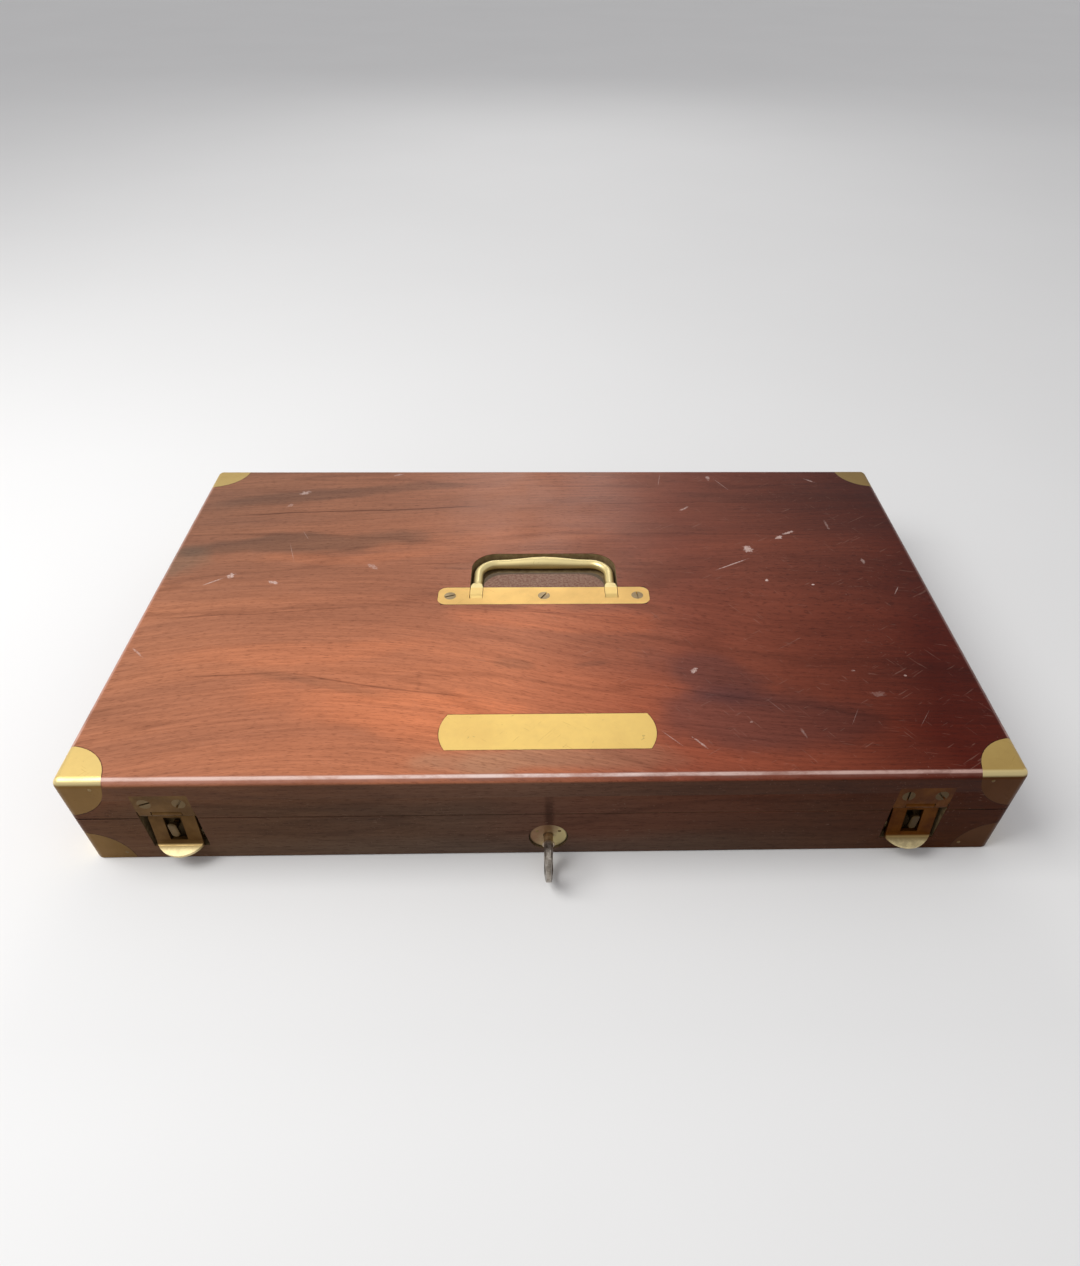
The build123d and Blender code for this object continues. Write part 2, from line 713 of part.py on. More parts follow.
collar_back = front_face - key_collar_at
collar_front = collar_back - key_collar_length
bow_y = collar_front - key_bow_radius + key_bow_sunk
shank = rod("Y", key_shank_radius, (lock_x, collar_front, key_z), (lock_x, bit_inner, key_z))
collar = rod("Y", key_collar_radius, (lock_x, collar_front, key_z), (lock_x, collar_back, key_z))
collar = chamfer(collar.edges().filter_by(GeomType.CIRCLE), key_collar_edge)
bit_front = curtain_front + running
bit = block(
    lock_x - key_bit_thickness / 2, lock_x + key_bit_thickness / 2, bit_front, bit_inner,
    key_z - key_bit_reach, key_z,
)
bow = Circle(key_bow_radius) - Circle(key_bow_radius - key_bow_ring)
bow = prism_x(Pos(bow_y, key_z) * bow, lock_x, key_bow_thickness)
bow = chamfer(bow.edges().filter_by(GeomType.CIRCLE), key_bow_edge)
bow_back, bow_front = collar_back, bow_y - key_bow_radius
wide, narrow, bow_middle = key_bow_thickness / 2, key_bow_tip / 2, bow_y - key_bow_radius / 4
tapered = [
    Line((lock_x - wide, bow_back), (lock_x + wide, bow_back)),
    ThreePointArc(
        (lock_x + wide, bow_back), (lock_x + key_bow_swell * wide, bow_middle), (lock_x + narrow, bow_front)
    ),
    Line((lock_x + narrow, bow_front), (lock_x - narrow, bow_front)),
    ThreePointArc(
        (lock_x - narrow, bow_front), (lock_x - key_bow_swell * wide, bow_middle), (lock_x - wide, bow_back)
    ),
]
bow = bow & plan(make_face(tapered), key_z - key_bow_radius, key_z + key_bow_radius)
bore_front = cavity_front - key_bore_start
bore = rod("Y", key_bore_radius, (lock_x, bore_front, key_z), (lock_x, bit_inner, key_z))
save("key", bow + shank + collar + bit - bore)

# Hinges ---------------------------------------------------------------------------------------

axis_y = half_d + hinge_axis_out
knuckle = hinge_length / hinge_knuckles
leaf_inner_y = half_d - hinge_leaf_width
hinge_left, hinge_right = hinge_x - hinge_length / 2, hinge_x + hinge_length / 2


def along_hinge(radius, start, end):
    """A bar on the right hinge's axis, between two distances from the hinge's left end."""
    return rod("X", radius, (hinge_left + start, axis_y, seam), (hinge_left + end, axis_y, seam))


def hinge_leaf(z0, z1, own, other):
    """One leaf with its own knuckles, cut back from the other leaf's."""
    plate = block(hinge_left, hinge_right, leaf_inner_y, axis_y, z0, z1)
    for i in other:
        start, end = i * knuckle - knuckle_gap / 2, (i + 1) * knuckle + knuckle_gap / 2
        room = along_hinge(hinge_barrel_radius + clear, start, end)
        behind = block(
            hinge_left + start, hinge_left + end, axis_y - hinge_barrel_radius, axis_y, z0, z1
        )
        plate = plate - room - behind
    for i in own:
        start, end = i * knuckle + knuckle_gap / 2, (i + 1) * knuckle - knuckle_gap / 2
        plate = plate + along_hinge(hinge_barrel_radius, start, end)
    return plate


even = range(0, hinge_knuckles, 2)
odd = range(1, hinge_knuckles, 2)
hinge_pin = along_hinge(hinge_pin_radius, 0, hinge_length)
loose_pin = along_hinge(hinge_pin_radius + running, 0, hinge_length)
base_leaf = hinge_leaf(seam - hinge_leaf_thickness, seam, even, odd) - hinge_pin
lid_leaf = hinge_leaf(seam, seam + hinge_leaf_thickness, odd, even) - loose_pin
sides = ("left", "right")
for side, low_leaf, high_leaf in zip(sides, left_and_right(base_leaf), left_and_right(lid_leaf)):
    save(f"hinge_base_leaf_{side}", low_leaf)
    save(f"hinge_lid_leaf_{side}", high_leaf)
save("hinge_pins", *left_and_right(hinge_pin))
groove = along_hinge(hinge_barrel_radius + clear, -clear, hinge_length + clear)
hinge_low, hinge_high = seam - hinge_leaf_thickness, seam + hinge_leaf_thickness
hinge_gain = block(hinge_left, hinge_right, leaf_inner_y, half_d, hinge_low, hinge_high)
base_cuts["back"] += left_and_right(groove) + left_and_right(hinge_gain)
lid_cuts["back"] += left_and_right(groove) + left_and_right(hinge_gain)

# Boards ---------------------------------------------------------------------------------------

for side, board in base_boards.items():
    save(f"base_{side}_wall", board - (base_corners + base_cuts.get(side, [])))
for side, board in lid_boards.items():
    save(f"lid_{side}_wall", board - (lid_corners + lid_cuts.get(side, [])))
save("base_bottom_panel", base_panel - base_corners)
save("lid_top_panel", lid_panel - lid_cuts["panel"])

# Inside ---------------------------------------------------------------------------------------

lining_top = seam - lining_below_rim
tray = block(-inside_w, inside_w, -inside_d, inside_d, bottom_board, lining_top)
room_w, room_d = inside_w - lining, inside_d - lining
floor_z = bottom_board + lining
room = block(-room_w, room_w, -room_d, room_d, floor_z, seam)
window = across_lock(half_lock, -inside_d, -inside_d + lining, bottom_board + lining, seam)
save("base_lining", tray - room - window)

rack_z = floor_z + rack_height
rack_length = 2 * (room_d - rack_end_gap)
notch_pitch = rack_length / rack_notches


def rack(x):
    """A rail across the tray, notched along its top for instruments laid lengthwise."""
    half, end = rack_thickness / 2, rack_length / 2
    rail = block(x - half, x + half, -end, end, floor_z, rack_z)
    for i in range(rack_notches):
        y = (i + 0.5) * notch_pitch - end
        rail = rail - rod("X", rack_notch_radius, (x - half, y, rack_z), (x + half, y, rack_z))
    return rail


for name, x in (("left", -rack_x), ("middle", 0), ("right", rack_x)):
    save(f"instrument_rack_{name}", rack(x))

cushion_z = case_height - top_board
cushion_w, cushion_d = inside_w - cushion_gap, inside_d - cushion_gap
cushion = block(-cushion_w, cushion_w, -cushion_d, cushion_d, cushion_z - cushion_thickness, cushion_z)
save("lid_cushion", fillet(cushion.faces().sort_by(Axis.Z)[0].edges(), cushion_thickness / 2))

print(len(made), "sub-parts")
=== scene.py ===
"""The looks of a brass-bound mahogany instrument case: finishes, velvet, fasteners, light, camera."""

from math import cos, pi, radians, sin

import bmesh
import bpy
from mathutils import Matrix, Vector

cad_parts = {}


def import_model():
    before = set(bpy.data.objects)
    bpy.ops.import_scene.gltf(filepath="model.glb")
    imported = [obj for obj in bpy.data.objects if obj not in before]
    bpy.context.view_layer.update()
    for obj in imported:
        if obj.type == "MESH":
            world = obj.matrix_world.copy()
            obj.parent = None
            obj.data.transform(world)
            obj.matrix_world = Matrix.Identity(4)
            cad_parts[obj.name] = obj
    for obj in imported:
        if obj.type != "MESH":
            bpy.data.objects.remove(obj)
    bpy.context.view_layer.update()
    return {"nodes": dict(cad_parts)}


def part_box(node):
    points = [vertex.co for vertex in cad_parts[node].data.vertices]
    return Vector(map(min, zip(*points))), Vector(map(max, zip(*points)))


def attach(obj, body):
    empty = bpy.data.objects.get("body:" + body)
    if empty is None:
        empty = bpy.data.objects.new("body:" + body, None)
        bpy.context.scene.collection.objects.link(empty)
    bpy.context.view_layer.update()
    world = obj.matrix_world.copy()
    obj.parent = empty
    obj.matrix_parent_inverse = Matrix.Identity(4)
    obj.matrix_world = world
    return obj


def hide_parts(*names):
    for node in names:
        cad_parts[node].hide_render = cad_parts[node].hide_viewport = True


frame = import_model()
nodes = frame["nodes"]
MM = 0.001

# Sizes from the frame
lid_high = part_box("lid_top_panel")[1]
half_w, half_d, top = lid_high.x, lid_high.y, lid_high.z
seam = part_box("base_front_wall")[1].z
inside_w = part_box("lid_cushion")[1].x
plate_low, plate_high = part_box("name_plate")
handle_low, handle_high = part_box("handle_plate")
grip_low, grip_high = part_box("handle_bail")
escutcheon_low, escutcheon_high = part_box("escutcheon")
lock_x = (escutcheon_low.x + escutcheon_high.x) / 2
key_z = (escutcheon_low.z + escutcheon_high.z) / 2


# Node materials -------------------------------------------------------------------------------


class Finish:
    """A node material, with a short call for each kind of node that the finishes use."""

    def __init__(self, name, turned=False):
        self.material = bpy.data.materials.new(name)
        self.material.use_nodes = True
        self.tree = self.material.node_tree
        self.shader = self.tree.nodes["Principled BSDF"]
        coordinates = self.add("TexCoord")
        self.place = coordinates.outputs["Object"]
        self.facing = coordinates.outputs["Normal"]
        if turned:
            self.place = self.moved(turn=pi / 2)

    def put(self, socket, value):
        """Sets a socket, or links it where the value is another node's output."""
        if isinstance(value, bpy.types.NodeSocket):
            self.tree.links.new(value, socket)
        elif socket.type == "RGBA" and hasattr(value, "__len__") and len(value) == 3:
            socket.default_value = (*value, 1)
        elif value is not None:
            socket.default_value = value

    def add(self, kind, **inputs):
        node = self.tree.nodes.new("ShaderNode" + kind)
        for name, value in inputs.items():
            self.put(node.inputs[name], value)
        return node

    def moved(self, stretch=(1, 1, 1), turn=0.0, shift=(0, 0, 0), of=None):
        """The place, scaled after a turn about Z."""
        source = self.place if of is None else of
        turned = self.add("Mapping", Vector=source, Rotation=(0, 0, turn))
        return self.add("Mapping", Vector=turned.outputs[0], Scale=stretch, Location=shift).outputs[0]

    def noise(
        self, scale, stretch=(1, 1, 1), turn=0.0, detail=4.0, rough=0.5, twist=0.0, shift=(0, 0, 0), of=None,
    ):
        node = self.add(
            "TexNoise", Vector=self.moved(stretch, turn, shift, of), Scale=scale, Detail=detail,
            Roughness=rough, Distortion=twist,
        )
        return node.outputs["Fac"]

    def math(self, operation, *values):
        node = self.add("Math")
        node.operation = operation
        for socket, value in zip(node.inputs, values):
            self.put(socket, value)
        return node.outputs[0]

    def times(self, first, *others):
        for other in others:
            first = self.math("MULTIPLY", first, other)
        return first

    def plus(self, first, *others):
        for other in others:
            first = self.math("ADD", first, other)
        return first

    def minus(self, value, other):
        return self.math("SUBTRACT", value, other)

    def ratio(self, value, other):
        return self.math("DIVIDE", value, other)

    def size(self, value):
        return self.math("ABSOLUTE", value)

    def most(self, first, *others):
        for other in others:
            first = self.math("MAXIMUM", first, other)
        return first

    def over(self, value, limit):
        """1 where the value is over the limit, and 0 elsewhere."""
        return self.math("GREATER_THAN", value, limit)

    def under(self, value, limit):
        return self.math("LESS_THAN", value, limit)

    def swing(self, value, amount):
        """A noise, which lies around a half, as a shift to either side of nothing."""
        return self.times(self.minus(value, 0.5), amount)

    def ease(self, value, start, end, low=0.0, high=1.0):
        """Runs smoothly from low to high as the value goes from start to end."""
        node = self.add("MapRange", Value=value)
        node.interpolation_type = "SMOOTHSTEP"
        for name, number in (("From Min", start), ("From Max", end), ("To Min", low), ("To Max", high)):
            self.put(node.inputs[name], number)
        return node.outputs[0]

    def split(self, vector):
        return self.add("SeparateXYZ", Vector=vector).outputs

    def join(self, x, y, z):
        return self.add("CombineXYZ", X=x, Y=y, Z=z).outputs[0]

    def mix(self, factor, a, b, blend="MIX"):
        node = self.add("Mix")
        node.data_type = "RGBA"
        node.blend_type = blend
        node.clamp_factor = True
        self.put(node.inputs[0], factor)
        self.put(node.inputs[6], a)
        self.put(node.inputs[7], b)
        return node.outputs[2]

    def ramp(self, value, *stops):
        """A colour for each value, between stops of (value, colour)."""
        node = self.add("ValToRGB", Fac=value)
        elements = node.color_ramp.elements
        while len(elements) < len(stops):
            elements.new(0.5)
        for element, (at, colour) in zip(elements, stops):
            element.position = at
            element.color = (*colour, 1)
        return node.outputs[0]

    def raggedness(self, scale, amount):
        """What a spot's edge wanders by."""
        return self.swing(self.noise(scale, detail=3), 2 * amount)

    def spot(self, x, y, half_x, half_y, turn, edge, of=None):
        """1 inside a ragged oval on the lid, given in millimetres and degrees, falling to 0 outside it."""
        across = self.add("Mapping", Vector=self.place if of is None else of)
        across.vector_type = "TEXTURE"
        across.inputs["Location"].default_value = (x * MM, y * MM, top)
        across.inputs["Rotation"].default_value = (0, 0, radians(turn))
        across.inputs["Scale"].default_value = (half_x * MM, half_y * MM, 1)
        reach = self.add("VectorMath", Vector=across.outputs[0])
        reach.operation = "LENGTH"
        return self.ease(self.plus(reach.outputs["Value"], edge), 1.0, 0.45)

    def scratches(self, scale, turn, sharp, length=0.05, shift=(0, 0, 0)):
        """Fine lines in one direction, broken into lengths."""
        line = self.noise(scale, (length, 1, 1), turn, 2, 0.4, 0, shift)
        broken = self.noise(scale * 0.11, (0.6, 1, 1), turn, 2, 0.5, 0, shift)
        fine = self.ease(line, sharp, sharp + 0.025)
        return self.times(fine, self.ease(broken, 0.52, 0.62))

    def bump(self, height, strength, depth, over=None):
        node = self.add("Bump", Height=height, Strength=strength, Distance=depth)
        if over is not None:
            self.put(node.inputs["Normal"], over)
        return node.outputs[0]

    def done(self, colour, roughness, normal=None, **fixed):
        self.put(self.shader.inputs["Base Color"], colour)
        self.put(self.shader.inputs["Roughness"], roughness)
        self.put(self.shader.inputs["Normal"], normal)
        for name, value in fixed.items():
            self.put(self.shader.inputs[name.replace("_", " ")], value)
        return self.material


# Wood -----------------------------------------------------------------------------------------

# What multiplies the wood's colour in its bands, its veins and its pores
BAND_DARK, BAND_DIM = (0.76, 0.78, 0.82), (0.92, 0.93, 0.95)
BAND_LIT, BAND_BRIGHT = (1.04, 1.03, 1.01), (1.15, 1.12, 1.07)
RING, PORE = (0.40, 0.36, 0.36), (0.40, 0.33, 0.31)
VEIN_DARK, VEIN_LIT = (0.72, 0.68, 0.66), (1.16, 1.15, 1.13)

END_WOOD = (0.17, 0.052, 0.030)
BARE_WOOD = (0.30, 0.115, 0.060)
GRIME = (0.020, 0.009, 0.006)
LID_CORNER, BASE_CORNER = 23.0 * MM, 20.5 * MM  # how far the brass corners reach

# The lid's colour from its left end to its right, by place in millimetres. Its fall to the right is in part
# painted shade
ACROSS = [
    (-215, (0.39, 0.155, 0.082)), (-20, (0.49, 0.168, 0.082)),
    (80, (0.27, 0.070, 0.037)), (215, (0.07, 0.007, 0.002)),
]
# What multiplies it from the middle to the back, the same way
BACKWARD = [(-30, (1, 1, 1)), (90, (0.62, 0.70, 0.78))]
# The front boards' colour from the case's left end to its right, the same way. How much darker they are than
# the lid, and their fall to the right, is in part painted shade
FRONT = [(-200, (0.135, 0.064, 0.032)), (0, (0.115, 0.066, 0.045)), (200, (0.052, 0.012, 0.002))]

# Patches of the lid's figure: x, y, half-lengths, turn in degrees, strength, and what multiplies the
# wood's colour. All places and lengths in these lists are in millimetres.
SMOKE, EMBER, PLUM = (0.54, 0.64, 0.72), (1.34, 1.24, 1.12), (0.58, 0.72, 1.00)
# DUST is dust on the left end; the pale band at the front edge's middle is worn polish with a painted sheen
DUST, WEAR_AND_SHEEN = (0.74, 1.02, 1.15), (0.95, 1.38, 1.60)
PATCHES = [
    (-148, 109, 105, 9, 9, 0.55, SMOKE), (-150, 52, 105, 13, 6, 0.78, SMOKE),
    (-214, 33, 18, 24, 0, 0.70, DUST), (-45, 27, 38, 5, 4, 0.40, SMOKE),
    (-112, 37, 70, 7, 5, 0.55, EMBER), (-135, -52, 85, 12, 4, 0.45, EMBER),
    (-70, -98, 95, 22, -9, 0.85, EMBER), (-108, -79, 55, 5, -13, 0.35, SMOKE),
    (6, -27, 80, 13, -6, 0.90, EMBER), (78, 66, 34, 8, 0, 0.30, SMOKE),
    (150, 106, 80, 9, -1, 0.30, SMOKE), (92, -72, 46, 22, -28, 0.75, PLUM),
    (112, -104, 62, 28, -8, 0.85, PLUM), (-20, -62, 16, 5, -10, 0.45, SMOKE),
    (24, -62, 12, 3, 0, 0.40, SMOKE), (5, -130, 75, 12, 0, 0.80, WEAR_AND_SHEEN),
]
# Long dark veins: x from and to, y at each end, thickness, strength
VEINS = [
    (-205, -30, 83.0, 95.5, 1.1, 0.75), (20, 160, 97.5, 99.0, 0.8, 0.45),
    (-225, -90, -24.0, -12.0, 0.9, 0.45), (-70, 60, -12.0, -26.0, 0.9, 0.35),
    (-200, -120, -73.0, -66.5, 0.9, 0.50), (-140, -30, -67.5, -91.0, 0.9, 0.55),
    (-110, -20, 27.0, 31.0, 0.8, 0.35), (70, 190, 62.0, 58.0, 0.9, 0.35),
]
# Scuffs: x, y, half-lengths, turn, strength
SCUFFS = [
    (-159.5, 111.5, 3.6, 2.4, 20, 0.47), (-166.0, 96.0, 3.3, 1.8, 50, 0.21),
    (-101.0, 135.5, 4.1, 1.4, 20, 0.30), (-184.5, 17.5, 2.8, 2.6, 35, 0.64),
    (-158.5, 10.5, 3.9, 1.7, -25, 0.64), (-103.0, 26.0, 4.9, 1.9, -40, 0.30),
    (124.6, 43.5, 3.1, 4.5, 10, 0.68), (146.5, 56.5, 3.0, 1.9, 30, 0.72),
    (154.0, 62.0, 5.1, 1.2, 28, 0.64), (130.0, 10.5, 1.1, 1.4, -20, 0.72),
    (156.5, 6.0, 1.0, 0.7, 0, 0.77), (192.5, 30.0, 1.3, 3.6, 0, 0.30),
    (76.5, -69.0, 2.8, 1.7, 50, 0.59), (112.0, 131.0, 1.8, 3.6, 10, 0.42),
    (91.0, 91.0, 4.1, 1.0, 40, 0.38), (182.0, 127.0, 4.9, 0.9, -40, 0.34),
    (180.0, 71.0, 1.0, 6.5, 5, 0.21), (168.0, -88.0, 4.1, 2.2, 0, 0.16),
    (124.0, -115.0, 0.8, 4.2, 15, 0.18), (73.0, -121.0, 5.7, 0.6, -50, 0.42),
    (-215.0, -52.0, 4.9, 0.7, -45, 0.30), (186.0, -74.0, 1.0, 0.9, 0, 0.47),
    (160.0, -70.0, 1.1, 0.7, 0, 0.30), (100.0, -107.0, 1.0, 0.9, 0, 0.38),
]
# Single scratches, the same way
CUTS = [
    (112.0, 27.0, 14.0, 0.55, 29, 0.60), (-193.0, 11.5, 7.5, 0.60, 36, 0.60),
    (-154.0, 42.0, 12.0, 0.25, -72, 0.30), (-149.0, 60.0, 7.0, 0.25, -62, 0.25),
    (120.0, 122.0, 11.0, 0.30, -62, 0.35), (78.0, 128.0, 9.0, 0.25, 80, 0.30),
    (204.0, 0.0, 5.0, 0.35, 60, 0.40), (60.0, -118.0, 8.0, 0.30, -48, 0.35),
    (152.0, -104.0, 8.0, 0.20, 62, 0.18), (186.0, -106.0, 8.0, 0.20, 55, 0.18),
    (114.0, -96.0, 8.0, 0.20, -55, 0.16),
]

ISLAND_HALF = 36 * MM  # half the width of the wood inside the bail
ISLAND_BACK = 18.0 * MM  # where its part clear of the painted shadow of the bail ends at the back
RECESS_DEPTH = 9.5 * MM  # a little more than the handle's recess
RIM_WIDTH = 8 * MM  # of the lid's edge, where no pocket is cut


def flowing(f, arch=None):
    """The place with its Y wandering, and lifted by an arch, so that figure follows the grain."""
    x, y, z = f.split(f.place)
    y = f.plus(y, f.swing(f.noise(7, (0.5, 1, 1), detail=2), 0.022))
    if arch is not None:
        y = f.plus(y, arch)
    return f.join(x, y, z)


def figure(f, flow, strength=1.0):
    """How much lighter or darker mahogany's bands, rings, veins and pores make it, and its pores."""
    bands = f.noise(26, (0.11, 1, 1), detail=4, rough=0.5, of=flow)
    tone = f.ramp(bands, (0.32, BAND_DARK), (0.46, BAND_DIM), (0.56, BAND_LIT), (0.70, BAND_BRIGHT))
    tone = f.mix(strength, (1, 1, 1), tone)
    ring = f.size(f.minus(f.noise(15, (0.14, 1, 1), detail=3, of=flow), 0.5))
    tone = f.mix(f.times(f.ease(ring, 0.016, 0.002), 0.26), tone, RING, "MULTIPLY")
    veins = f.noise(560, (0.045, 1, 1), detail=5, rough=0.62, of=flow)
    tone = f.mix(0.58, tone, f.ramp(veins, (0.34, VEIN_DARK), (0.62, VEIN_LIT)), "MULTIPLY")
    pores = f.ease(f.noise(1700, (0.130, 1, 1), detail=2, rough=0.6, of=flow), 0.54, 0.66)
    return f.mix(f.times(pores, 0.48), tone, PORE, "MULTIPLY"), pores


def toned(f, colour, tone):
    return f.mix(1.0, colour, tone, "MULTIPLY")


def by_place(f, value, stops):
    """A colour for each place, between stops of (millimetres, colour)."""
    low, high = stops[0][0], stops[-1][0]
    share = f.ratio(f.minus(value, low * MM), (high - low) * MM)
    return f.ramp(share, *[((at - low) / (high - low), colour) for at, colour in stops])


def drifting(f):
    """The place, gently disturbed, for patches with natural edges."""
    drift = f.add("TexNoise", Vector=f.place, Scale=11.0, Detail=3.0).outputs["Color"]
    steps = ("SUBTRACT", (0.5, 0.5, 0.5)), ("MULTIPLY", (0.050, 0.022, 0)), ("ADD", f.place)
    for operation, value in steps:
        node = f.add("VectorMath", Vector=drift)
        node.operation = operation
        f.put(node.inputs[1], value)
        drift = node.outputs[0]
    return drift


def lid_wood(f, x, y):
    """The lid's colour, with its figure, patches and long veins."""
    # Contours climb a little at the back, and arch over and fall to the right in front
    along = f.ratio(f.plus(x, 0.120), 0.165)
    fall = f.minus(1.0, f.math("EXPONENT", f.times(along, along, -1.0)))
    arch = f.times(fall, 0.048, f.ease(y, 0.050, -0.060))
    climb = f.times(f.math("MINIMUM", x, 0.0), -0.085, f.ease(y, -0.02, 0.06))
    tone, _ = figure(f, flowing(f, f.plus(arch, climb)))
    cloud = f.swing(f.noise(12, (0.5, 1, 1), detail=4), 0.085)
    slant = f.times(f.minus(y, -0.02), -0.12)
    # The fall to the right in these colours is in part painted shade
    wood = by_place(f, f.plus(x, cloud, slant), ACROSS)
    drifted, soft_edge = drifting(f), f.raggedness(26.0, 0.55)
    for at_x, at_y, half_x, half_y, turn, strength, shade in PATCHES:
        patch = f.spot(at_x, at_y, half_x, half_y, turn, soft_edge, of=drifted)
        wood = f.mix(f.times(patch, strength), wood, shade, "MULTIPLY")
    wood = toned(f, toned(f, wood, by_place(f, y, BACKWARD)), tone)
    taper = 30  # millimetres over which a vein fades at each end
    for x0, x1, y0, y1, thick, strength in VEINS:
        slope = (y1 - y0) / (x1 - x0)
        line = f.plus(f.times(f.minus(x, x0 * MM), slope), y0 * MM)
        waver = f.swing(f.noise(16, (1, 0, 0), detail=3, shift=(y0, 0, 0)), 0.007)
        off = f.size(f.minus(f.minus(y, line), waver))
        ends = f.times(f.ease(x, x0 * MM, (x0 + taper) * MM), f.ease(x, x1 * MM, (x1 - taper) * MM))
        vein = f.times(f.ease(off, thick * MM, 0.1 * thick * MM), f.times(ends, strength))
        wood = f.mix(vein, wood, (0.35, 0.30, 0.30), "MULTIPLY")
    return wood


def inside_bail(f, x, y, colour):
    """Greyer wood inside the bail, and a painted shadow of the bail, dark olive, along the recess's edge."""
    off_middle = f.size(f.minus(x, (grip_low.x + grip_high.x) / 2))
    inside = f.times(
        f.under(off_middle, ISLAND_HALF), f.over(y, handle_high.y), f.under(y, grip_high.y - 2 * MM),
    )
    mottle = f.noise(700, detail=4, rough=0.65)
    island_grey = f.ramp(mottle, (0.36, (0.140, 0.062, 0.038)), (0.62, (0.255, 0.150, 0.100)))
    colour = f.mix(f.times(inside, 0.9), colour, island_grey)
    # Painted shadow of the bail on the back of the island, with rounded ends
    round_end = f.math("POWER", f.ratio(off_middle, ISLAND_HALF - 2 * MM), 8.0)
    behind = f.plus(f.minus(y, ISLAND_BACK), f.times(round_end, 8 * MM))
    bail_shadow = f.times(f.ease(behind, -0.9 * MM, 0.5 * MM), inside)
    return f.mix(f.times(bail_shadow, 0.92), colour, (0.075, 0.050, 0.022))


def worn_edge_and_highlight(f, x, y, nz, colour):
    """Polish worn through along the lid's rounded edges, most of all in front, with a painted highlight
    along the rounding.
    """
    flakes = f.plus(f.noise(75, (0.30, 1, 1), detail=6, rough=0.7), f.times(f.noise(900, (0.5, 1, 1)), 0.12))
    in_front = f.ease(y, -0.10, -0.135, 0.25, 1.0)
    to_right = f.ease(x, -0.20, 0.20)
    margin = f.times(f.ease(nz, 0.30, 0.70), f.ease(nz, 0.999, 0.95))
    margin = f.times(margin, f.ease(flakes, 0.42, 0.66, 0.30, 0.85), in_front)
    worn = (0.0, (0.50, 0.235, 0.170)), (0.5, (0.24, 0.105, 0.075)), (1.0, (0.19, 0.075, 0.055))
    colour = f.mix(margin, colour, f.ramp(to_right, *worn))
    # A painted highlight along the upper part of the rounding, brightest in the middle
    highlight_core = f.times(f.ease(nz, 0.72, 0.84), f.ease(nz, 0.985, 0.93))
    highlight_core = f.times(highlight_core, f.ease(flakes, 0.38, 0.62, 0.35, 1.0), in_front)
    pale = (0.0, (0.74, 0.50, 0.42)), (0.5, (0.84, 0.66, 0.60)), (1.0, (0.52, 0.33, 0.28))
    return f.mix(highlight_core, colour, f.ramp(to_right, *pale))


def lid_marks(f):
    """The lid's scuffs and single scratches."""
    marks = None
    for group, edge in ((SCUFFS, f.raggedness(620.0, 0.85)), (CUTS, f.raggedness(900.0, 0.35))):
        for at_x, at_y, half_x, half_y, turn, strength in group:
            mark = f.times(f.spot(at_x, at_y, half_x, half_y, turn, edge), strength)
            marks = mark if marks is None else f.most(marks, mark)
    return marks


def lid_scratches(f, x, y):
    """The lid's fine scratches and specks, more of them to the right and in front."""
    fine = f.scratches(1300, radians(57), 0.665)
    fine = f.most(fine, f.scratches(1150, radians(-34), 0.67, shift=(3, 1, 0)))
    fine = f.most(fine, f.scratches(1400, radians(12), 0.675, shift=(1, 5, 0)))
    fine = f.times(fine, f.ease(x, -0.16, 0.10, 0.15, 0.50))
    worn_side = f.plus(f.ease(x, 0.02, 0.18, 0.10, 0.60), f.ease(y, -0.05, -0.13, 0.0, 0.25))
    gathered = f.times(f.ease(f.noise(26, detail=3), 0.44, 0.60), worn_side)
    specks = f.times(f.ease(f.noise(850, detail=1), 0.715, 0.765), gathered)
    return f.most(fine, specks)


def lid_top():
    """The lid's upper face and its rounded edges."""
    f = Finish("mahogany_lid_top")
    x, y, z = f.split(f.place)
    nx, _, nz = f.split(f.facing)
    colour = inside_bail(f, x, y, lid_wood(f, x, y))
    # Grime against the let-in brass
    for near, far, bulge in ((plate_low, plate_high, 3.5 * MM), (handle_low, handle_high, 2.2 * MM)):
        colour = f.mix(f.times(edge_line(f, x, y, near, far, bulge), 0.80), colour, GRIME)
    colour = f.mix(f.times(corner_grime(f, LID_CORNER, top), 0.70), colour, GRIME)
    colour = worn_edge_and_highlight(f, x, y, nz, colour)
    # The rounding's lower half and the edge of the panel match the boards below it
    board_tone, _ = figure(f, flowing(f), 0.6)
    boards = f.mix(f.over(f.size(nx), 0.3), front_wood(f, x, z), END_WOOD)
    colour = f.mix(f.ease(nz, 0.42, 0.12), colour, toned(f, boards, board_tone))
    # The walls of the pockets cut into it are darkened with painted shade
    sunk = f.under(z, top - 0.25 * MM)
    inland = f.times(f.under(f.size(y), half_d - RIM_WIDTH), f.under(f.size(x), half_w - RIM_WIDTH))
    hollow = f.times(sunk, inland, f.over(z, top - RECESS_DEPTH))
    recess_shade = f.ramp(f.noise(320, detail=4), (0.3, (0.150, 0.102, 0.048)), (0.7, (0.250, 0.180, 0.090)))
    colour = f.mix(hollow, colour, recess_shade)
    marks, fine = lid_marks(f), lid_scratches(f, x, y)
    chalk = f.ramp(f.noise(1500, detail=2), (0.35, (0.42, 0.25, 0.20)), (0.65, (0.80, 0.64, 0.58)))
    colour = f.mix(marks, colour, chalk)
    colour = f.mix(f.times(fine, 0.30), colour, (0.42, 0.26, 0.20))
    roughness = f.ease(f.plus(f.noise(24, detail=5), f.times(fine, 0.4)), 0.3, 0.9, 0.32, 0.50)
    roughness = f.most(roughness, f.times(f.most(hollow, marks), 0.75))
    relief = f.bump(f.noise(1800, (0.1, 1, 1), detail=2), 0.06, 0.05 * MM)
    return f.done(colour, roughness, relief, Specular_IOR_Level=0.08, Coat_Weight=0.01, Coat_Roughness=0.20)


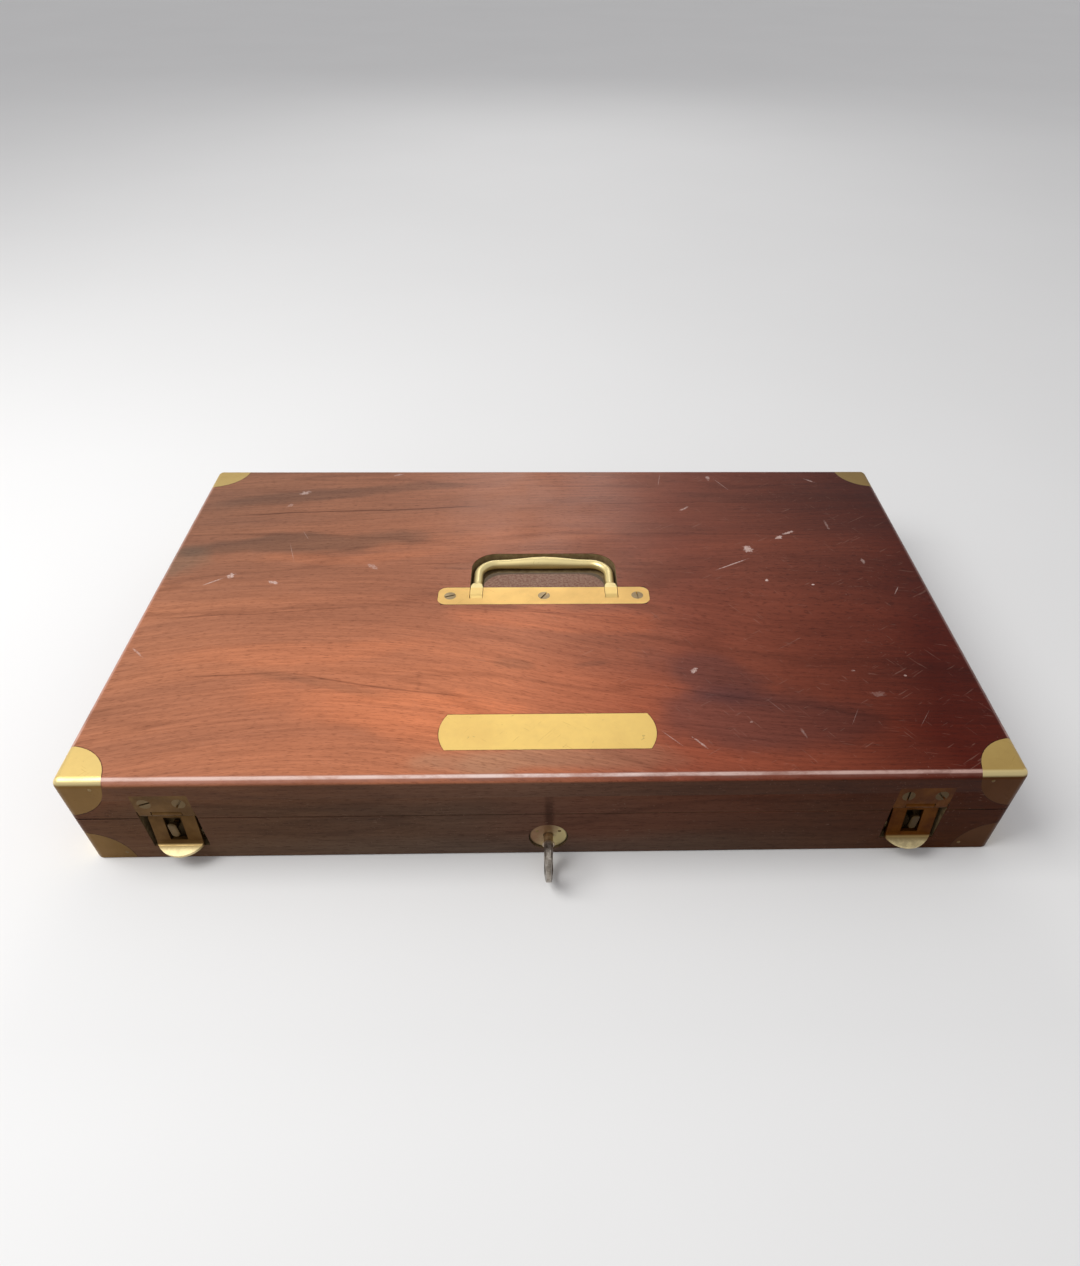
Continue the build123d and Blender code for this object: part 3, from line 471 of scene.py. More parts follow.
def corner_grime(f, reach, level):
    """A thin line just outside the brass corners, at a distance from the case's corner points."""
    x, y, z = f.split(f.place)
    facing = f.split(f.facing)
    from_corner = f.minus(half_w, f.size(x)), f.minus(half_d, f.size(y)), f.size(f.minus(z, level))
    total = 0.0
    for amount, toward in zip(from_corner, facing):
        used = f.times(amount, f.minus(1.0, f.over(f.size(toward), 0.7)))
        total = f.plus(f.times(used, used), total)
    away = f.minus(f.math("SQRT", total), reach)
    return f.times(f.ease(away, 0.65 * MM, 0.15 * MM), f.ease(f.noise(260, detail=3), 0.3, 0.55, 0.4, 1.0))


def edge_line(f, x, y, low, high, bulge):
    """A thin line just outside a plate whose ends are bowed by the bulge."""
    middle, half = (low + high) / 2, (high - low) / 2
    across = f.size(f.minus(y, middle.y))
    along = f.size(f.minus(x, middle.x))
    bow = f.times(f.math("POWER", f.ratio(across, half.y), 2.0), bulge)
    outside = f.most(f.minus(f.plus(along, bow), half.x), f.minus(across, half.y))
    return f.times(f.ease(outside, 0.55 * MM, 0.1 * MM), f.ease(f.noise(260, detail=3), 0.3, 0.55, 0.3, 1.0))


def front_wood(f, x, z):
    """The upright boards in front: browner to the left, redder above and greyer below."""
    # Darker than the lid and falling to the right, in part as painted shade
    wood = by_place(f, x, FRONT)
    upper = f.mix(f.ease(x, -0.02, 0.08), (1.40, 1.20, 1.08), (1.00, 0.80, 0.68))
    wood = f.mix(f.ease(z, 34 * MM, 50 * MM), wood, upper, "MULTIPLY")
    return f.mix(f.ease(z, 20 * MM, 6 * MM), wood, (1.15, 1.32, 1.42), "MULTIPLY")


def key_reflection(f, x, y, z):
    """A painted reflection of the key in the polish: a dark run down the front, from the lid's edge to the
    escutcheon.
    """
    off_key = f.size(f.minus(x, lock_x + 0.6 * MM))
    run = f.times(f.ease(off_key, 3.2 * MM, 0.8 * MM), f.ease(z, key_z, key_z + 12 * MM))
    uneven = f.ease(f.noise(90, (1, 1, 0.3), detail=3), 0.32, 0.6, 0.2, 0.6)
    return f.times(run, uneven, f.under(y, 0.0))


def board(name, turned):
    """An upright board: polished outside, and bare along the seam and inside."""
    f = Finish(name, turned)
    x, y, z = f.split(f.add("TexCoord").outputs["Object"])  # not turned, as f.place may be
    tone, pores = figure(f, flowing(f), 0.75)
    base = END_WOOD if turned else front_wood(f, x, z)
    warmer = f.ease(f.noise(11, (0.4, 1, 1), detail=3), 0.40, 0.68)
    polished = toned(f, f.mix(warmer, base, toned(f, base, (1.30, 0.90, 0.80))), tone)
    bare = toned(f, BARE_WOOD, tone)
    from_seam = f.size(f.minus(z, seam))
    rubbed = f.ease(f.noise(55, (0.2, 1, 1), detail=4), 0.46, 0.62)
    near_seam = f.times(f.ease(from_seam, 1.3 * MM, 0.3 * MM), rubbed)
    polished = f.mix(f.times(near_seam, 0.22), polished, (0.20, 0.065, 0.036))
    grime = f.times(f.ease(from_seam, 0.6 * MM, 0.2 * MM), f.ease(x, 0.10, -0.02, 0.20, 0.50))
    polished = f.mix(grime, polished, (0.016, 0.008, 0.006))
    if not turned:
        # A painted reflection of the key in the polish
        polished = f.mix(key_reflection(f, x, y, z), polished, (0.030, 0.012, 0.009))
    foot = f.times(f.ease(z, 1.3 * MM, 0.3 * MM), f.ease(f.noise(70, (0.3, 1, 1), detail=4), 0.4, 0.6))
    polished = f.mix(f.times(foot, 0.45), polished, (0.20, 0.090, 0.060))
    for reach, level in ((BASE_CORNER, 0.0), (LID_CORNER, top)):
        polished = f.mix(f.times(corner_grime(f, reach, level), 0.65), polished, GRIME)
    # Bare wood on the seam's faces and inside; painted shade on the pocket walls and floors behind the hasps
    _, _, nz = f.split(f.facing)
    rim = f.times(f.ease(f.size(nz), 0.90, 0.97), f.ease(from_seam, 0.4 * MM, 0.1 * MM))
    inside_y = half_d - 11.9 * MM
    inner = f.times(f.under(f.size(x), inside_w + 0.7 * MM), f.under(f.size(y), inside_y))
    set_back = f.plus(y, half_d)
    pocket = f.times(
        f.over(set_back, 0.3 * MM), f.under(set_back, 11.0 * MM), f.under(f.size(x), half_w - 13 * MM),
        f.minus(1.0, rim),
    )
    recess_shade = f.ramp(f.noise(500, detail=3), (0.3, (0.090, 0.058, 0.028)), (0.7, (0.200, 0.140, 0.070)))
    colour = f.mix(pocket, f.mix(f.most(rim, inner), polished, bare), recess_shade)
    fine = f.scratches(1300, radians(80), 0.675)
    fine = f.most(fine, f.scratches(1100, radians(20), 0.67, shift=(2, 2, 2)))
    specks = f.times(f.ease(f.noise(900, detail=1), 0.73, 0.77), f.ease(f.noise(30, detail=3), 0.48, 0.6))
    colour = f.mix(f.times(f.most(fine, specks), 0.28), colour, (0.28, 0.17, 0.12))
    roughness = f.ease(f.noise(30, detail=5), 0.3, 0.8, 0.34, 0.50)
    roughness = f.most(roughness, f.times(f.most(rim, inner, pocket), 0.75))
    return f.done(colour, roughness, f.bump(pores, 0.08, 0.04 * MM), Specular_IOR_Level=0.05)


# Metal ----------------------------------------------------------------------------------------


def brass(
    name, bright, dull, dullness, roughness, front_shade=0.0, brush=(1, 1, 1), fade=1.0, metal=0.72,
    foot=None, rim=0.0,
):
    """Aged brass: rubbed bright in places, dull in others, and darker on the faces turned to the front, as
    painted shade.

    Towards the case's right end its colour is darkened by a given factor, for the brass fading there and in
    part as painted shade. A foot is (y, colour): the metal in front of y has that colour. The rim is how
    strong a highlight is painted on the rounding along the case's front edge.
    """
    f = Finish(name)
    patina = f.noise(42, detail=5, rough=0.55)
    mottle = f.noise(300, detail=4, rough=0.55)
    cover = f.plus(f.ease(patina, 0.34, 0.70), f.swing(mottle, 0.55))
    colour = f.mix(f.times(cover, dullness), bright, dull)
    x, y, _ = f.split(f.place)
    _, ny, nz = f.split(f.facing)
    if foot is not None:
        colour = f.mix(f.ease(y, foot[0] + 0.5 * MM, foot[0] - 0.5 * MM), colour, foot[1])
    # Painted shade on the faces turned to the front, deeper to the right
    front = f.times(f.ease(ny, -0.30, -0.85), front_shade)
    front_shade_tint = f.mix(f.ease(x, 0.0, 0.20), (0.24, 0.18, 0.14), (0.153, 0.070, 0.019))
    colour = f.mix(front, colour, f.mix(1.0, colour, front_shade_tint, "MULTIPLY"))
    # Darker to the right: the brass fading, and in part painted shade
    faded = f.mix(1.0, colour, (fade, 0.94 * fade, 0.84 * fade), "MULTIPLY")
    colour = f.mix(f.ease(x, 0.0, 0.21), colour, faded)
    far = f.times(f.ease(y, 0.03, 0.14), f.ease(x, -0.2, 0.2, 0.32, 0.62))
    colour = f.mix(far, colour, (0.3, 0.25, 0.25), "MULTIPLY")
    # A painted highlight along the rounding of the case's front edge
    if rim:
        rounding = f.times(f.ease(nz, 0.30, 0.62), f.ease(nz, 0.985, 0.88))
        rounding = f.times(rounding, f.ease(ny, -0.05, -0.30))
        colour = f.mix(f.times(rounding, rim), colour, (0.96, 0.80, 0.40))
    spots = f.ease(f.noise(300, detail=2, twist=1.0), 0.72, 0.78)
    colour = f.mix(f.times(spots, 0.40), colour, (0.16, 0.090, 0.036))
    lines = f.noise(1500, brush, detail=3, rough=0.6)
    fine = f.scratches(1500, radians(35), 0.66)
    fine = f.most(fine, f.scratches(1300, radians(-50), 0.665, shift=(4, 0, 0)))
    colour = f.mix(f.times(fine, 0.30), colour, f.mix(1.0, colour, (0.66, 0.60, 0.50), "MULTIPLY"))
    rub = f.ease(patina, 0.3, 0.75, roughness - 0.04, roughness + 0.08)
    roughness = f.plus(rub, f.times(fine, 0.10))
    relief = f.bump(lines, 0.05, 0.03 * MM)
    relief = f.bump(mottle, 0.05, 0.04 * MM, relief)
    return f.done(colour, roughness, relief, Metallic=metal, Specular_IOR_Level=0.15)


def hasp_brass():
    """Brown brass, darker and more orange to the right, in part as painted shade, with a painted highlight
    on the lips that stand out in front.
    """
    f = Finish("brass_hasp")
    x, y, _ = f.split(f.place)
    patina = f.noise(60, detail=5, rough=0.6)
    mottle = f.noise(420, detail=4, rough=0.6)
    left = f.mix(f.ease(patina, 0.35, 0.65), (0.092, 0.045, 0.013), (0.150, 0.078, 0.025))
    right = f.mix(f.ease(patina, 0.35, 0.65), (0.060, 0.014, 0.001), (0.112, 0.036, 0.003))
    colour = f.mix(f.ease(x, -0.10, 0.10), left, right)
    roughness = f.ease(mottle, 0.3, 0.7, 0.36, 0.50)
    # A painted highlight on the lips, brighter the further they stand out
    out = f.minus(-half_d, y)
    rubbed = f.ease(out, 0.6 * MM, 1.6 * MM)
    lip_highlight = f.mix(f.ease(out, 1.4 * MM, 5.0 * MM), (0.34, 0.23, 0.09), (0.92, 0.77, 0.42))
    lip_highlight = f.mix(f.ease(mottle, 0.36, 0.64, 0.3, 0.0), lip_highlight, (0.30, 0.20, 0.08))
    colour = f.mix(rubbed, colour, lip_highlight)
    relief = f.bump(mottle, 0.10, 0.05 * MM)
    return f.done(colour, roughness, relief, Metallic=0.75, Specular_IOR_Level=0.12)


def escutcheon_brass():
    """Brown brass with a painted sheen that turns it yellow towards the lower right, and a painted shadow of
    its recess's edge as a dark rim.
    """
    f = Finish("brass_escutcheon")
    x, _, z = f.split(f.place)
    right = f.minus(x, lock_x)
    rise = f.minus(z, key_z)
    radius = escutcheon_high.x - lock_x
    # A painted sheen: browner to the upper left, yellower to the lower right
    toward = f.minus(right, f.times(rise, 0.7))
    mottle = f.noise(380, detail=4, rough=0.6)
    toward = f.plus(toward, f.swing(mottle, 9 * MM))
    sheen_browns = (0.1, (0.30, 0.175, 0.095)), (0.5, (0.46, 0.33, 0.185)), (0.85, (0.72, 0.60, 0.30))
    colour = f.ramp(f.ease(toward, -radius, radius), *sheen_browns)
    # A painted shadow of the recess's edge: a dark rim all round
    away = f.math("SQRT", f.plus(f.times(right, right), f.times(rise, rise)))
    rim = f.ease(away, radius - 1.1 * MM, radius - 0.3 * MM)
    colour = f.mix(f.times(rim, 0.75), colour, (0.050, 0.030, 0.016))
    roughness = f.ease(mottle, 0.3, 0.7, 0.34, 0.48)
    return f.done(colour, roughness, f.bump(mottle, 0.15, 0.08 * MM), Metallic=0.72, Specular_IOR_Level=0.15)


def key_steel():
    """Grey worn steel on the bow, browner along the shank."""
    f = Finish("key_steel_worn")
    _, y, _ = f.split(f.place)
    patina = f.noise(260, detail=6, rough=0.65)
    grey = (0.32, (0.12, 0.098, 0.076)), (0.52, (0.30, 0.260, 0.215)), (0.72, (0.62, 0.57, 0.50))
    brown = (0.32, (0.16, 0.092, 0.042)), (0.55, (0.30, 0.195, 0.095)), (0.75, (0.50, 0.37, 0.22))
    on_shank = f.ease(y, -half_d - 7 * MM, -half_d - 4 * MM)
    colour = f.mix(on_shank, f.ramp(patina, *grey), f.ramp(patina, *brown))
    collar = f.ease(y, -half_d - 10.5 * MM, -half_d - 6.5 * MM)
    collar = f.times(collar, f.ease(y, -half_d - 3.6 * MM, -half_d - 4.6 * MM))
    colour = f.mix(f.times(collar, 0.65), colour, (0.62, 0.50, 0.38))
    relief = f.bump(f.noise(900, detail=4), 0.2, 0.08 * MM)
    return f.done(colour, f.ease(patina, 0.3, 0.7, 0.28, 0.48), relief, Metallic=0.9)


# Cloth ----------------------------------------------------------------------------------------


def velvet(name, dark, light, crush):
    """Short pile, rubbed one way and the other in soft patches."""
    f = Finish(name)
    patches = f.noise(crush, detail=4, rough=0.55, twist=0.6)
    pile = f.noise(3200, detail=2)
    colour = f.mix(f.ease(patches, 0.28, 0.75, 0.25, 0.75), dark, light)
    colour = f.mix(f.ease(pile, 0.35, 0.7, 0.0, 0.35), colour, light)
    faded = f.ease(f.noise(12, detail=3), 0.55, 0.75)
    colour = f.mix(f.times(faded, 0.10), colour, (0.30, 0.11, 0.10))
    relief = f.bump(pile, 0.5, 0.25 * MM)
    relief = f.bump(patches, 0.3, 0.5 * MM, relief)
    return f.done(
        colour, 0.9, relief, Specular_IOR_Level=0.1, Sheen_Weight=0.55, Sheen_Roughness=0.45,
        Sheen_Tint=(0.95, 0.45, 0.45, 1),
    )


# For each brass: bright, dull, dullness, roughness, and what else differs from plain brass()
BRASSES = {
    "corner": ((0.83, 0.60, 0.21), (0.66, 0.46, 0.16), 0.55, 0.44, dict(front_shade=1, fade=0.64, rim=0.65)),
    "plate": (
        (0.98, 0.68, 0.21), (0.82, 0.55, 0.18), 0.60, 0.46,
        dict(front_shade=0.6, brush=(0.05, 1, 1), fade=0.60),
    ),
    "handle_plate": ((0.86, 0.55, 0.18), (0.68, 0.43, 0.15), 0.6, 0.44, dict(front_shade=0.5, fade=0.8)),
    "bail": (
        (0.90, 0.74, 0.36), (0.72, 0.56, 0.25), 0.40, 0.42,
        dict(metal=0.75, foot=(handle_high.y, (0.84, 0.60, 0.22))),
    ),
    "hasp_screw": ((0.16, 0.105, 0.048), (0.11, 0.068, 0.030), 0.5, 0.40, dict(fade=0.6)),
    "button": ((0.15, 0.098, 0.045), (0.05, 0.030, 0.013), 0.7, 0.28, dict(fade=0.7, metal=0.9)),
    "latch_plate": ((0.16, 0.105, 0.045), (0.06, 0.038, 0.018), 0.85, 0.50, dict(front_shade=0.3, fade=0.7)),
    "hinge": ((0.62, 0.46, 0.20), (0.34, 0.23, 0.10), 0.6, 0.40, {}),
    "lock": ((0.60, 0.44, 0.19), (0.36, 0.25, 0.11), 0.6, 0.42, {}),
    "screw": ((0.46, 0.35, 0.19), (0.20, 0.135, 0.07), 0.7, 0.36, dict(fade=0.9)),
    "pin": ((0.40, 0.28, 0.12), (0.18, 0.115, 0.05), 0.8, 0.42, dict(front_shade=0.3, fade=0.7)),
}
finishes = {name: brass("brass_" + name, *values, **others) for name, (*values, others) in BRASSES.items()}
finishes.update({
    "lid_top_panel": lid_top(),
    "upright_x": board("mahogany_front", False),
    "upright_y": board("mahogany_end", True),
    "floor": board("mahogany_underside", False),
    "hasp": hasp_brass(),
    "escutcheon": escutcheon_brass(),
    "key": key_steel(),
    "velvet": velvet("velvet_tray", (0.11, 0.012, 0.020), (0.25, 0.030, 0.045), 22),
    "pad": velvet("velvet_lid_pad", (0.12, 0.014, 0.022), (0.28, 0.036, 0.050), 16),
})

# The finish of each node, by how its name starts
FINISH_OF = [
    ("lid_top_panel", "lid_top_panel"), ("base_bottom_panel", "floor"),
    ("base_front_wall", "upright_x"), ("base_back_wall", "upright_x"),
    ("lid_front_wall", "upright_x"), ("lid_back_wall", "upright_x"),
    ("base_left_wall", "upright_y"), ("base_right_wall", "upright_y"),
    ("lid_left_wall", "upright_y"), ("lid_right_wall", "upright_y"),
    ("lid_corner", "corner"), ("base_corner", "corner"), ("name_plate", "plate"),
    ("handle_plate_screws", "screw"), ("handle_plate", "handle_plate"), ("handle_bail", "bail"),
    ("handle_pivot_pins", "pin"), ("hasp_leaf_screws", "hasp_screw"), ("hasp_pins", "pin"),
    ("hasp", "hasp"), ("latch_plate", "latch_plate"), ("turn_button", "button"),
    ("escutcheon", "escutcheon"), ("hinge_pins", "pin"), ("hinge", "hinge"), ("link_plate", "lock"),
    ("lock", "lock"), ("key", "key"), ("", "velvet"),
]


def dress(piece, finish):
    piece.data.materials.clear()
    piece.data.materials.append(finishes[finish])


for node_name, node in nodes.items():
    dress(node, next(finish for start, finish in FINISH_OF if node_name.startswith(start)))


# Soft and covered pieces ----------------------------------------------------------------------


def new_piece(name, mesh, finish, body):
    """Puts a mesh into the scene as a smooth piece that rides on a body."""
    piece = bpy.data.objects.new(name, mesh)
    bpy.context.scene.collection.objects.link(piece)
    for polygon in mesh.polygons:
        polygon.use_smooth = True
    dress(piece, finish)
    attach(piece, body)
    return piece


def mesh_of(form, name):
    mesh = bpy.data.meshes.new(name)
    form.to_mesh(mesh)
    form.free()
    return mesh


def covered_board(name, low, high):
    """A velvet-covered board with soft edges, in the tray."""
    form = bmesh.new()
    bmesh.ops.create_cube(form, size=1.0)
    size, middle = high - low, (low + high) / 2
    for vertex in form.verts:
        vertex.co = Vector([c * s + m for c, s, m in zip(vertex.co, size, middle)])
    bmesh.ops.bevel(form, geom=form.edges[:], offset=0.5 * MM, segments=4, profile=0.5, affect="EDGES")
    return new_piece(name, mesh_of(form, name), "velvet", "base")


def tray_lining():
    """Velvet-covered boards on the tray's floor and walls, open in front where the lock shows."""
    low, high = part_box("base_lining")
    thick, lap = 1.2 * MM, 8 * MM  # lap: how far it runs over the ends of the lock's case
    lock_low, lock_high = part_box("lock_case")
    lock_left, lock_right = lock_low.x + lap, lock_high.x - lap
    spans = {
        "lining_floor": ((low.x, low.y, low.z), (high.x, high.y, low.z + thick)),
        "lining_left": ((low.x, low.y, low.z + thick), (low.x + thick, high.y, high.z)),
        "lining_right": ((high.x - thick, low.y, low.z + thick), (high.x, high.y, high.z)),
        "lining_back": ((low.x + thick, high.y - thick, low.z + thick), (high.x - thick, high.y, high.z)),
        "lining_front_left": ((low.x + thick, low.y, low.z + thick), (lock_left, low.y + thick, high.z)),
        "lining_front_right": ((lock_right, low.y, low.z + thick), (high.x - thick, low.y + thick, high.z)),
    }
    for name, (near, far) in spans.items():
        piece = covered_board(name, Vector(near), Vector(far))
        if name == "lining_floor":
            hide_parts("base_lining")


def rack(node_name):
    """A velvet-covered rail with rounded notches, in place of the plain CAD rail."""
    low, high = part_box(node_name)
    notches, radius, steps = 7, 7.0 * MM, 12
    pitch = (high.y - low.y) / notches
    outline = [(low.y, low.z), (low.y, high.z)]
    for i in range(notches):
        middle = low.y + (i + 0.5) * pitch
        for step in range(steps + 1):
            angle = pi * step / steps
            outline.append((middle - radius * cos(angle), high.z - radius * sin(angle)))
    outline += [(high.y, high.z), (high.y, low.z)]
    form = bmesh.new()
    near, far = ([form.verts.new((x, y, z)) for y, z in outline] for x in (low.x, high.x))
    form.faces.new(near)
    form.faces.new(far)
    for i in range(len(outline)):
        form.faces.new((near[i - 1], near[i], far[i], far[i - 1]))
    bmesh.ops.recalc_face_normals(form, faces=form.faces[:])
    rail = new_piece("covered_" + node_name, mesh_of(form, node_name), "velvet", "base")
    soft = rail.modifiers.new("soft_edges", "BEVEL")
    soft.width, soft.segments, soft.limit_method, soft.angle_limit = 0.9 * MM, 3, "ANGLE", radians(50)
    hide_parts(node_name)


def lid_pad():
    """The lid's padded lining: glued flat to the lid and swelling below."""
    low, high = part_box("lid_cushion")
    low, high = low + Vector((2, 2, 1.5)) * MM, high - Vector((2, 2, 0)) * MM  # room to swell
    form = bmesh.new()
    bmesh.ops.create_cube(form, size=1.0)
    for vertex in form.verts:
        vertex.co = Vector([c * (b - a) + (a + b) / 2 for c, a, b in zip(vertex.co, low, high)])
    pad = new_piece("lid_pad", mesh_of(form, "lid_pad"), "pad", "lid")
    remesh = pad.modifiers.new("even", "REMESH")
    remesh.mode, remesh.voxel_size = "VOXEL", 3.0 * MM
    apply(pad, remesh)
    swell(pad, high.z, 3.0 * MM)
    smooth = pad.modifiers.new("smooth", "SMOOTH")
    smooth.factor, smooth.iterations = 0.5, 3
    apply(pad, smooth)
    for polygon in pad.data.polygons:
        polygon.use_smooth = True
    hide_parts("lid_cushion")


def apply(piece, modifier):
    """Makes a modifier's result the piece's own mesh."""
    with bpy.context.temp_override(object=piece, active_object=piece):
        bpy.ops.object.modifier_apply(modifier=modifier.name)


def swell(pad, glued_z, limit):
    """Blows the pad up as cloth, held where it is glued, and caps how far each point moves."""
    frames = 20
    start = [vertex.co.copy() for vertex in pad.data.vertices]
    held = pad.vertex_groups.new(name="glued")
    held.add([v.index for v in pad.data.vertices if v.co.z > glued_z - 1.0 * MM], 1.0, "REPLACE")
    cloth = pad.modifiers.new("cloth", "CLOTH")
    settings = cloth.settings
    settings.use_pressure, settings.uniform_pressure_force = True, 4.0
    settings.effector_weights.gravity = 0
    settings.vertex_group_mass = "glued"
    settings.quality = 4
    settings.tension_stiffness, settings.bending_stiffness = 8.0, 0.4
    cloth.point_cache.frame_end = frames
    scene = bpy.context.scene
    for number in range(1, frames + 1):
        scene.frame_set(number)
    apply(pad, cloth)
    for vertex, rest in zip(pad.data.vertices, start):
        move = vertex.co - rest
        if move.length > limit:
            vertex.co = rest + move.normalized() * limit
    scene.frame_set(1)


tray_lining()
for node_name in [n for n in nodes if n.startswith("instrument_rack")]:
    rack(node_name)
lid_pad()


# Small fasteners ------------------------------------------------------------------------------


def head_mesh(name, radius, proud, slotted):
    """A low domed or slotted head, facing +Z."""
    form = bmesh.new()
    sides, sunk = 20, -0.3 * MM
    rings = (1.0, sunk), (1.0, 0.4 * proud), (0.8, 0.85 * proud), (0.45, proud)
    angles = [2 * pi * i / sides for i in range(sides)]
    loops = []
    for share, z in rings:
        ring = share * radius
        loops.append([form.verts.new((ring * cos(angle), ring * sin(angle), z)) for angle in angles])
    for lower, upper in zip(loops, loops[1:]):
        for i in range(sides):
            form.faces.new((lower[i], lower[(i + 1) % sides], upper[(i + 1) % sides], upper[i]))
    form.faces.new(loops[-1])
    form.faces.new(list(reversed(loops[0])))
    if slotted:
        wide, half = radius * 0.92, 0.13 * radius
        corners = [(-wide, -half), (wide, -half), (wide, half), (-wide, half)]
        slot_face = [form.verts.new((x, y, proud + 0.01 * MM)) for x, y in corners]
        form.faces.new(slot_face).material_index = 1
    return mesh_of(form, name)


def fasten(name, mesh, places, body, finish):
    """Copies of one head, joined into one piece. Each place is (point, direction, turn)."""
    form = bmesh.new()
    for point, direction, turn in places:
        part = bmesh.new()
        part.from_mesh(mesh)
        aim = Vector(direction).to_track_quat("Z", "Y").to_matrix().to_4x4()
        part.transform(Matrix.Translation(point) @ aim @ Matrix.Rotation(turn, 4, "Z"))
        copied = bpy.data.meshes.new("part")
        part.to_mesh(copied)
        part.free()
        form.from_mesh(copied)
        bpy.data.meshes.remove(copied)
    piece = new_piece(name, mesh_of(form, name), finish, body)
    piece.data.materials.append(dark_slot)
    return piece


def slot_shadow():
    """Painted shadow in a screw's slot, with old wax and grime."""
    f = Finish("slot_shadow_and_grime")
    speck = f.noise(2500, detail=3)
    colour = f.mix(speck, (0.010, 0.006, 0.004), (0.040, 0.024, 0.014))
    return f.done(colour, 0.85, f.bump(speck, 0.3, 0.1 * MM))


dark_slot = slot_shadow()
pin_head = head_mesh("pin_head", 0.85 * MM, 0.12 * MM, False)
small_head = head_mesh("small_screw_head", 2.3 * MM, 0.10 * MM, True)


def corner_pins():
    """Pins through the brass corners, on the front and back and the ends."""
    reach, inset = 17 * MM, 5 * MM  # from the case's corner, and from its upper or lower edge
    for body, edge_z, up in (("lid", top, 1), ("base", 0.0, -1)):
        places = []
        z = edge_z - up * inset
        for sx in (-1, 1):
            for sy in (-1, 1):
                places.append(((sx * (half_w - reach), sy * half_d, z), (0, sy, 0), 0.0))
                places.append(((sx * half_w, sy * (half_d - reach), z), (sx, 0, 0), 0.0))
        fasten(f"{body}_corner_pins", pin_head, places, body, "pin")


def escutcheon_pins():
    front, aside, above = escutcheon_low.y, 5.5 * MM, 3.5 * MM
    places = [((lock_x + side * aside, front, key_z + above), (0, -1, 0), 0.0) for side in (-1, 1)]
    fasten("escutcheon_pins", pin_head, places, "base", "pin")


def row_of(low, high, count, y, z, facing):
    """Screws spaced along a leaf, each turned a little differently."""
    pitch = (high - low) / count
    return [((low + (i + 0.5) * pitch, y, z), facing, 0.7 + 1.3 * i) for i in range(count)]


def hidden_screws():
    """The screws that show when the lid is up: in the hinges, the lock's rim and the latch plates."""
    base_places, lid_places = [], []
    latch_aside, latch_z = 9 * MM, 14 * MM
    rim_aside, rim_inset = 30.5 * MM, 7.7 * MM
    for side in ("left", "right"):
        low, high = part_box(f"hinge_base_leaf_{side}")
        y = half_d - 5.0 * MM
        base_places += row_of(low.x, high.x, 3, y, seam, (0, 0, 1))
        lid_places += row_of(low.x, high.x, 3, y, seam, (0, 0, -1))
        low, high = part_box(f"latch_plate_{side}")
        middle = (low.x + high.x) / 2
        for i in (-1, 1):
            base_places.append(((middle + i * latch_aside, low.y, latch_z), (0, -1, 0), 0.5 + i))
    low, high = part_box("link_plate")
    for i in (-1, 1):
        x = (low.x + high.x) / 2 + i * rim_aside
        y = -half_d + rim_inset
        base_places.append(((x, y, seam), (0, 0, 1), 0.4 + i))
        lid_places.append(((x, y, seam), (0, 0, -1), 0.9 - i))
    fasten("base_small_screws", small_head, base_places, "base", "screw")
    fasten("lid_small_screws", small_head, lid_places, "lid", "screw")


corner_pins()
escutcheon_pins()
hidden_screws()


# Floor, light and camera ----------------------------------------------------------------------


def floor():
    """A pale floor, paler to the camera and in reflections than the light that it gives back."""
    form = bmesh.new()
    bmesh.ops.create_grid(form, x_segments=1, y_segments=1, size=12.0)
    ground = bpy.data.objects.new("floor", mesh_of(form, "floor"))
    bpy.context.scene.collection.objects.link(ground)
    f = Finish("floor_pale")
    cloud = f.noise(3, detail=3)
    seen_colour = f.mix(cloud, (0.78, 0.775, 0.76), (0.82, 0.815, 0.80))
    ray = f.tree.nodes.new("ShaderNodeLightPath").outputs
    seen = f.most(ray["Is Camera Ray"], ray["Is Transmission Ray"], ray["Is Glossy Ray"])
    lit = f.mix(seen, (0.30, 0.295, 0.285), seen_colour)
    ground.data.materials.append(f.done(lit, 0.9, Specular_IOR_Level=0.1))


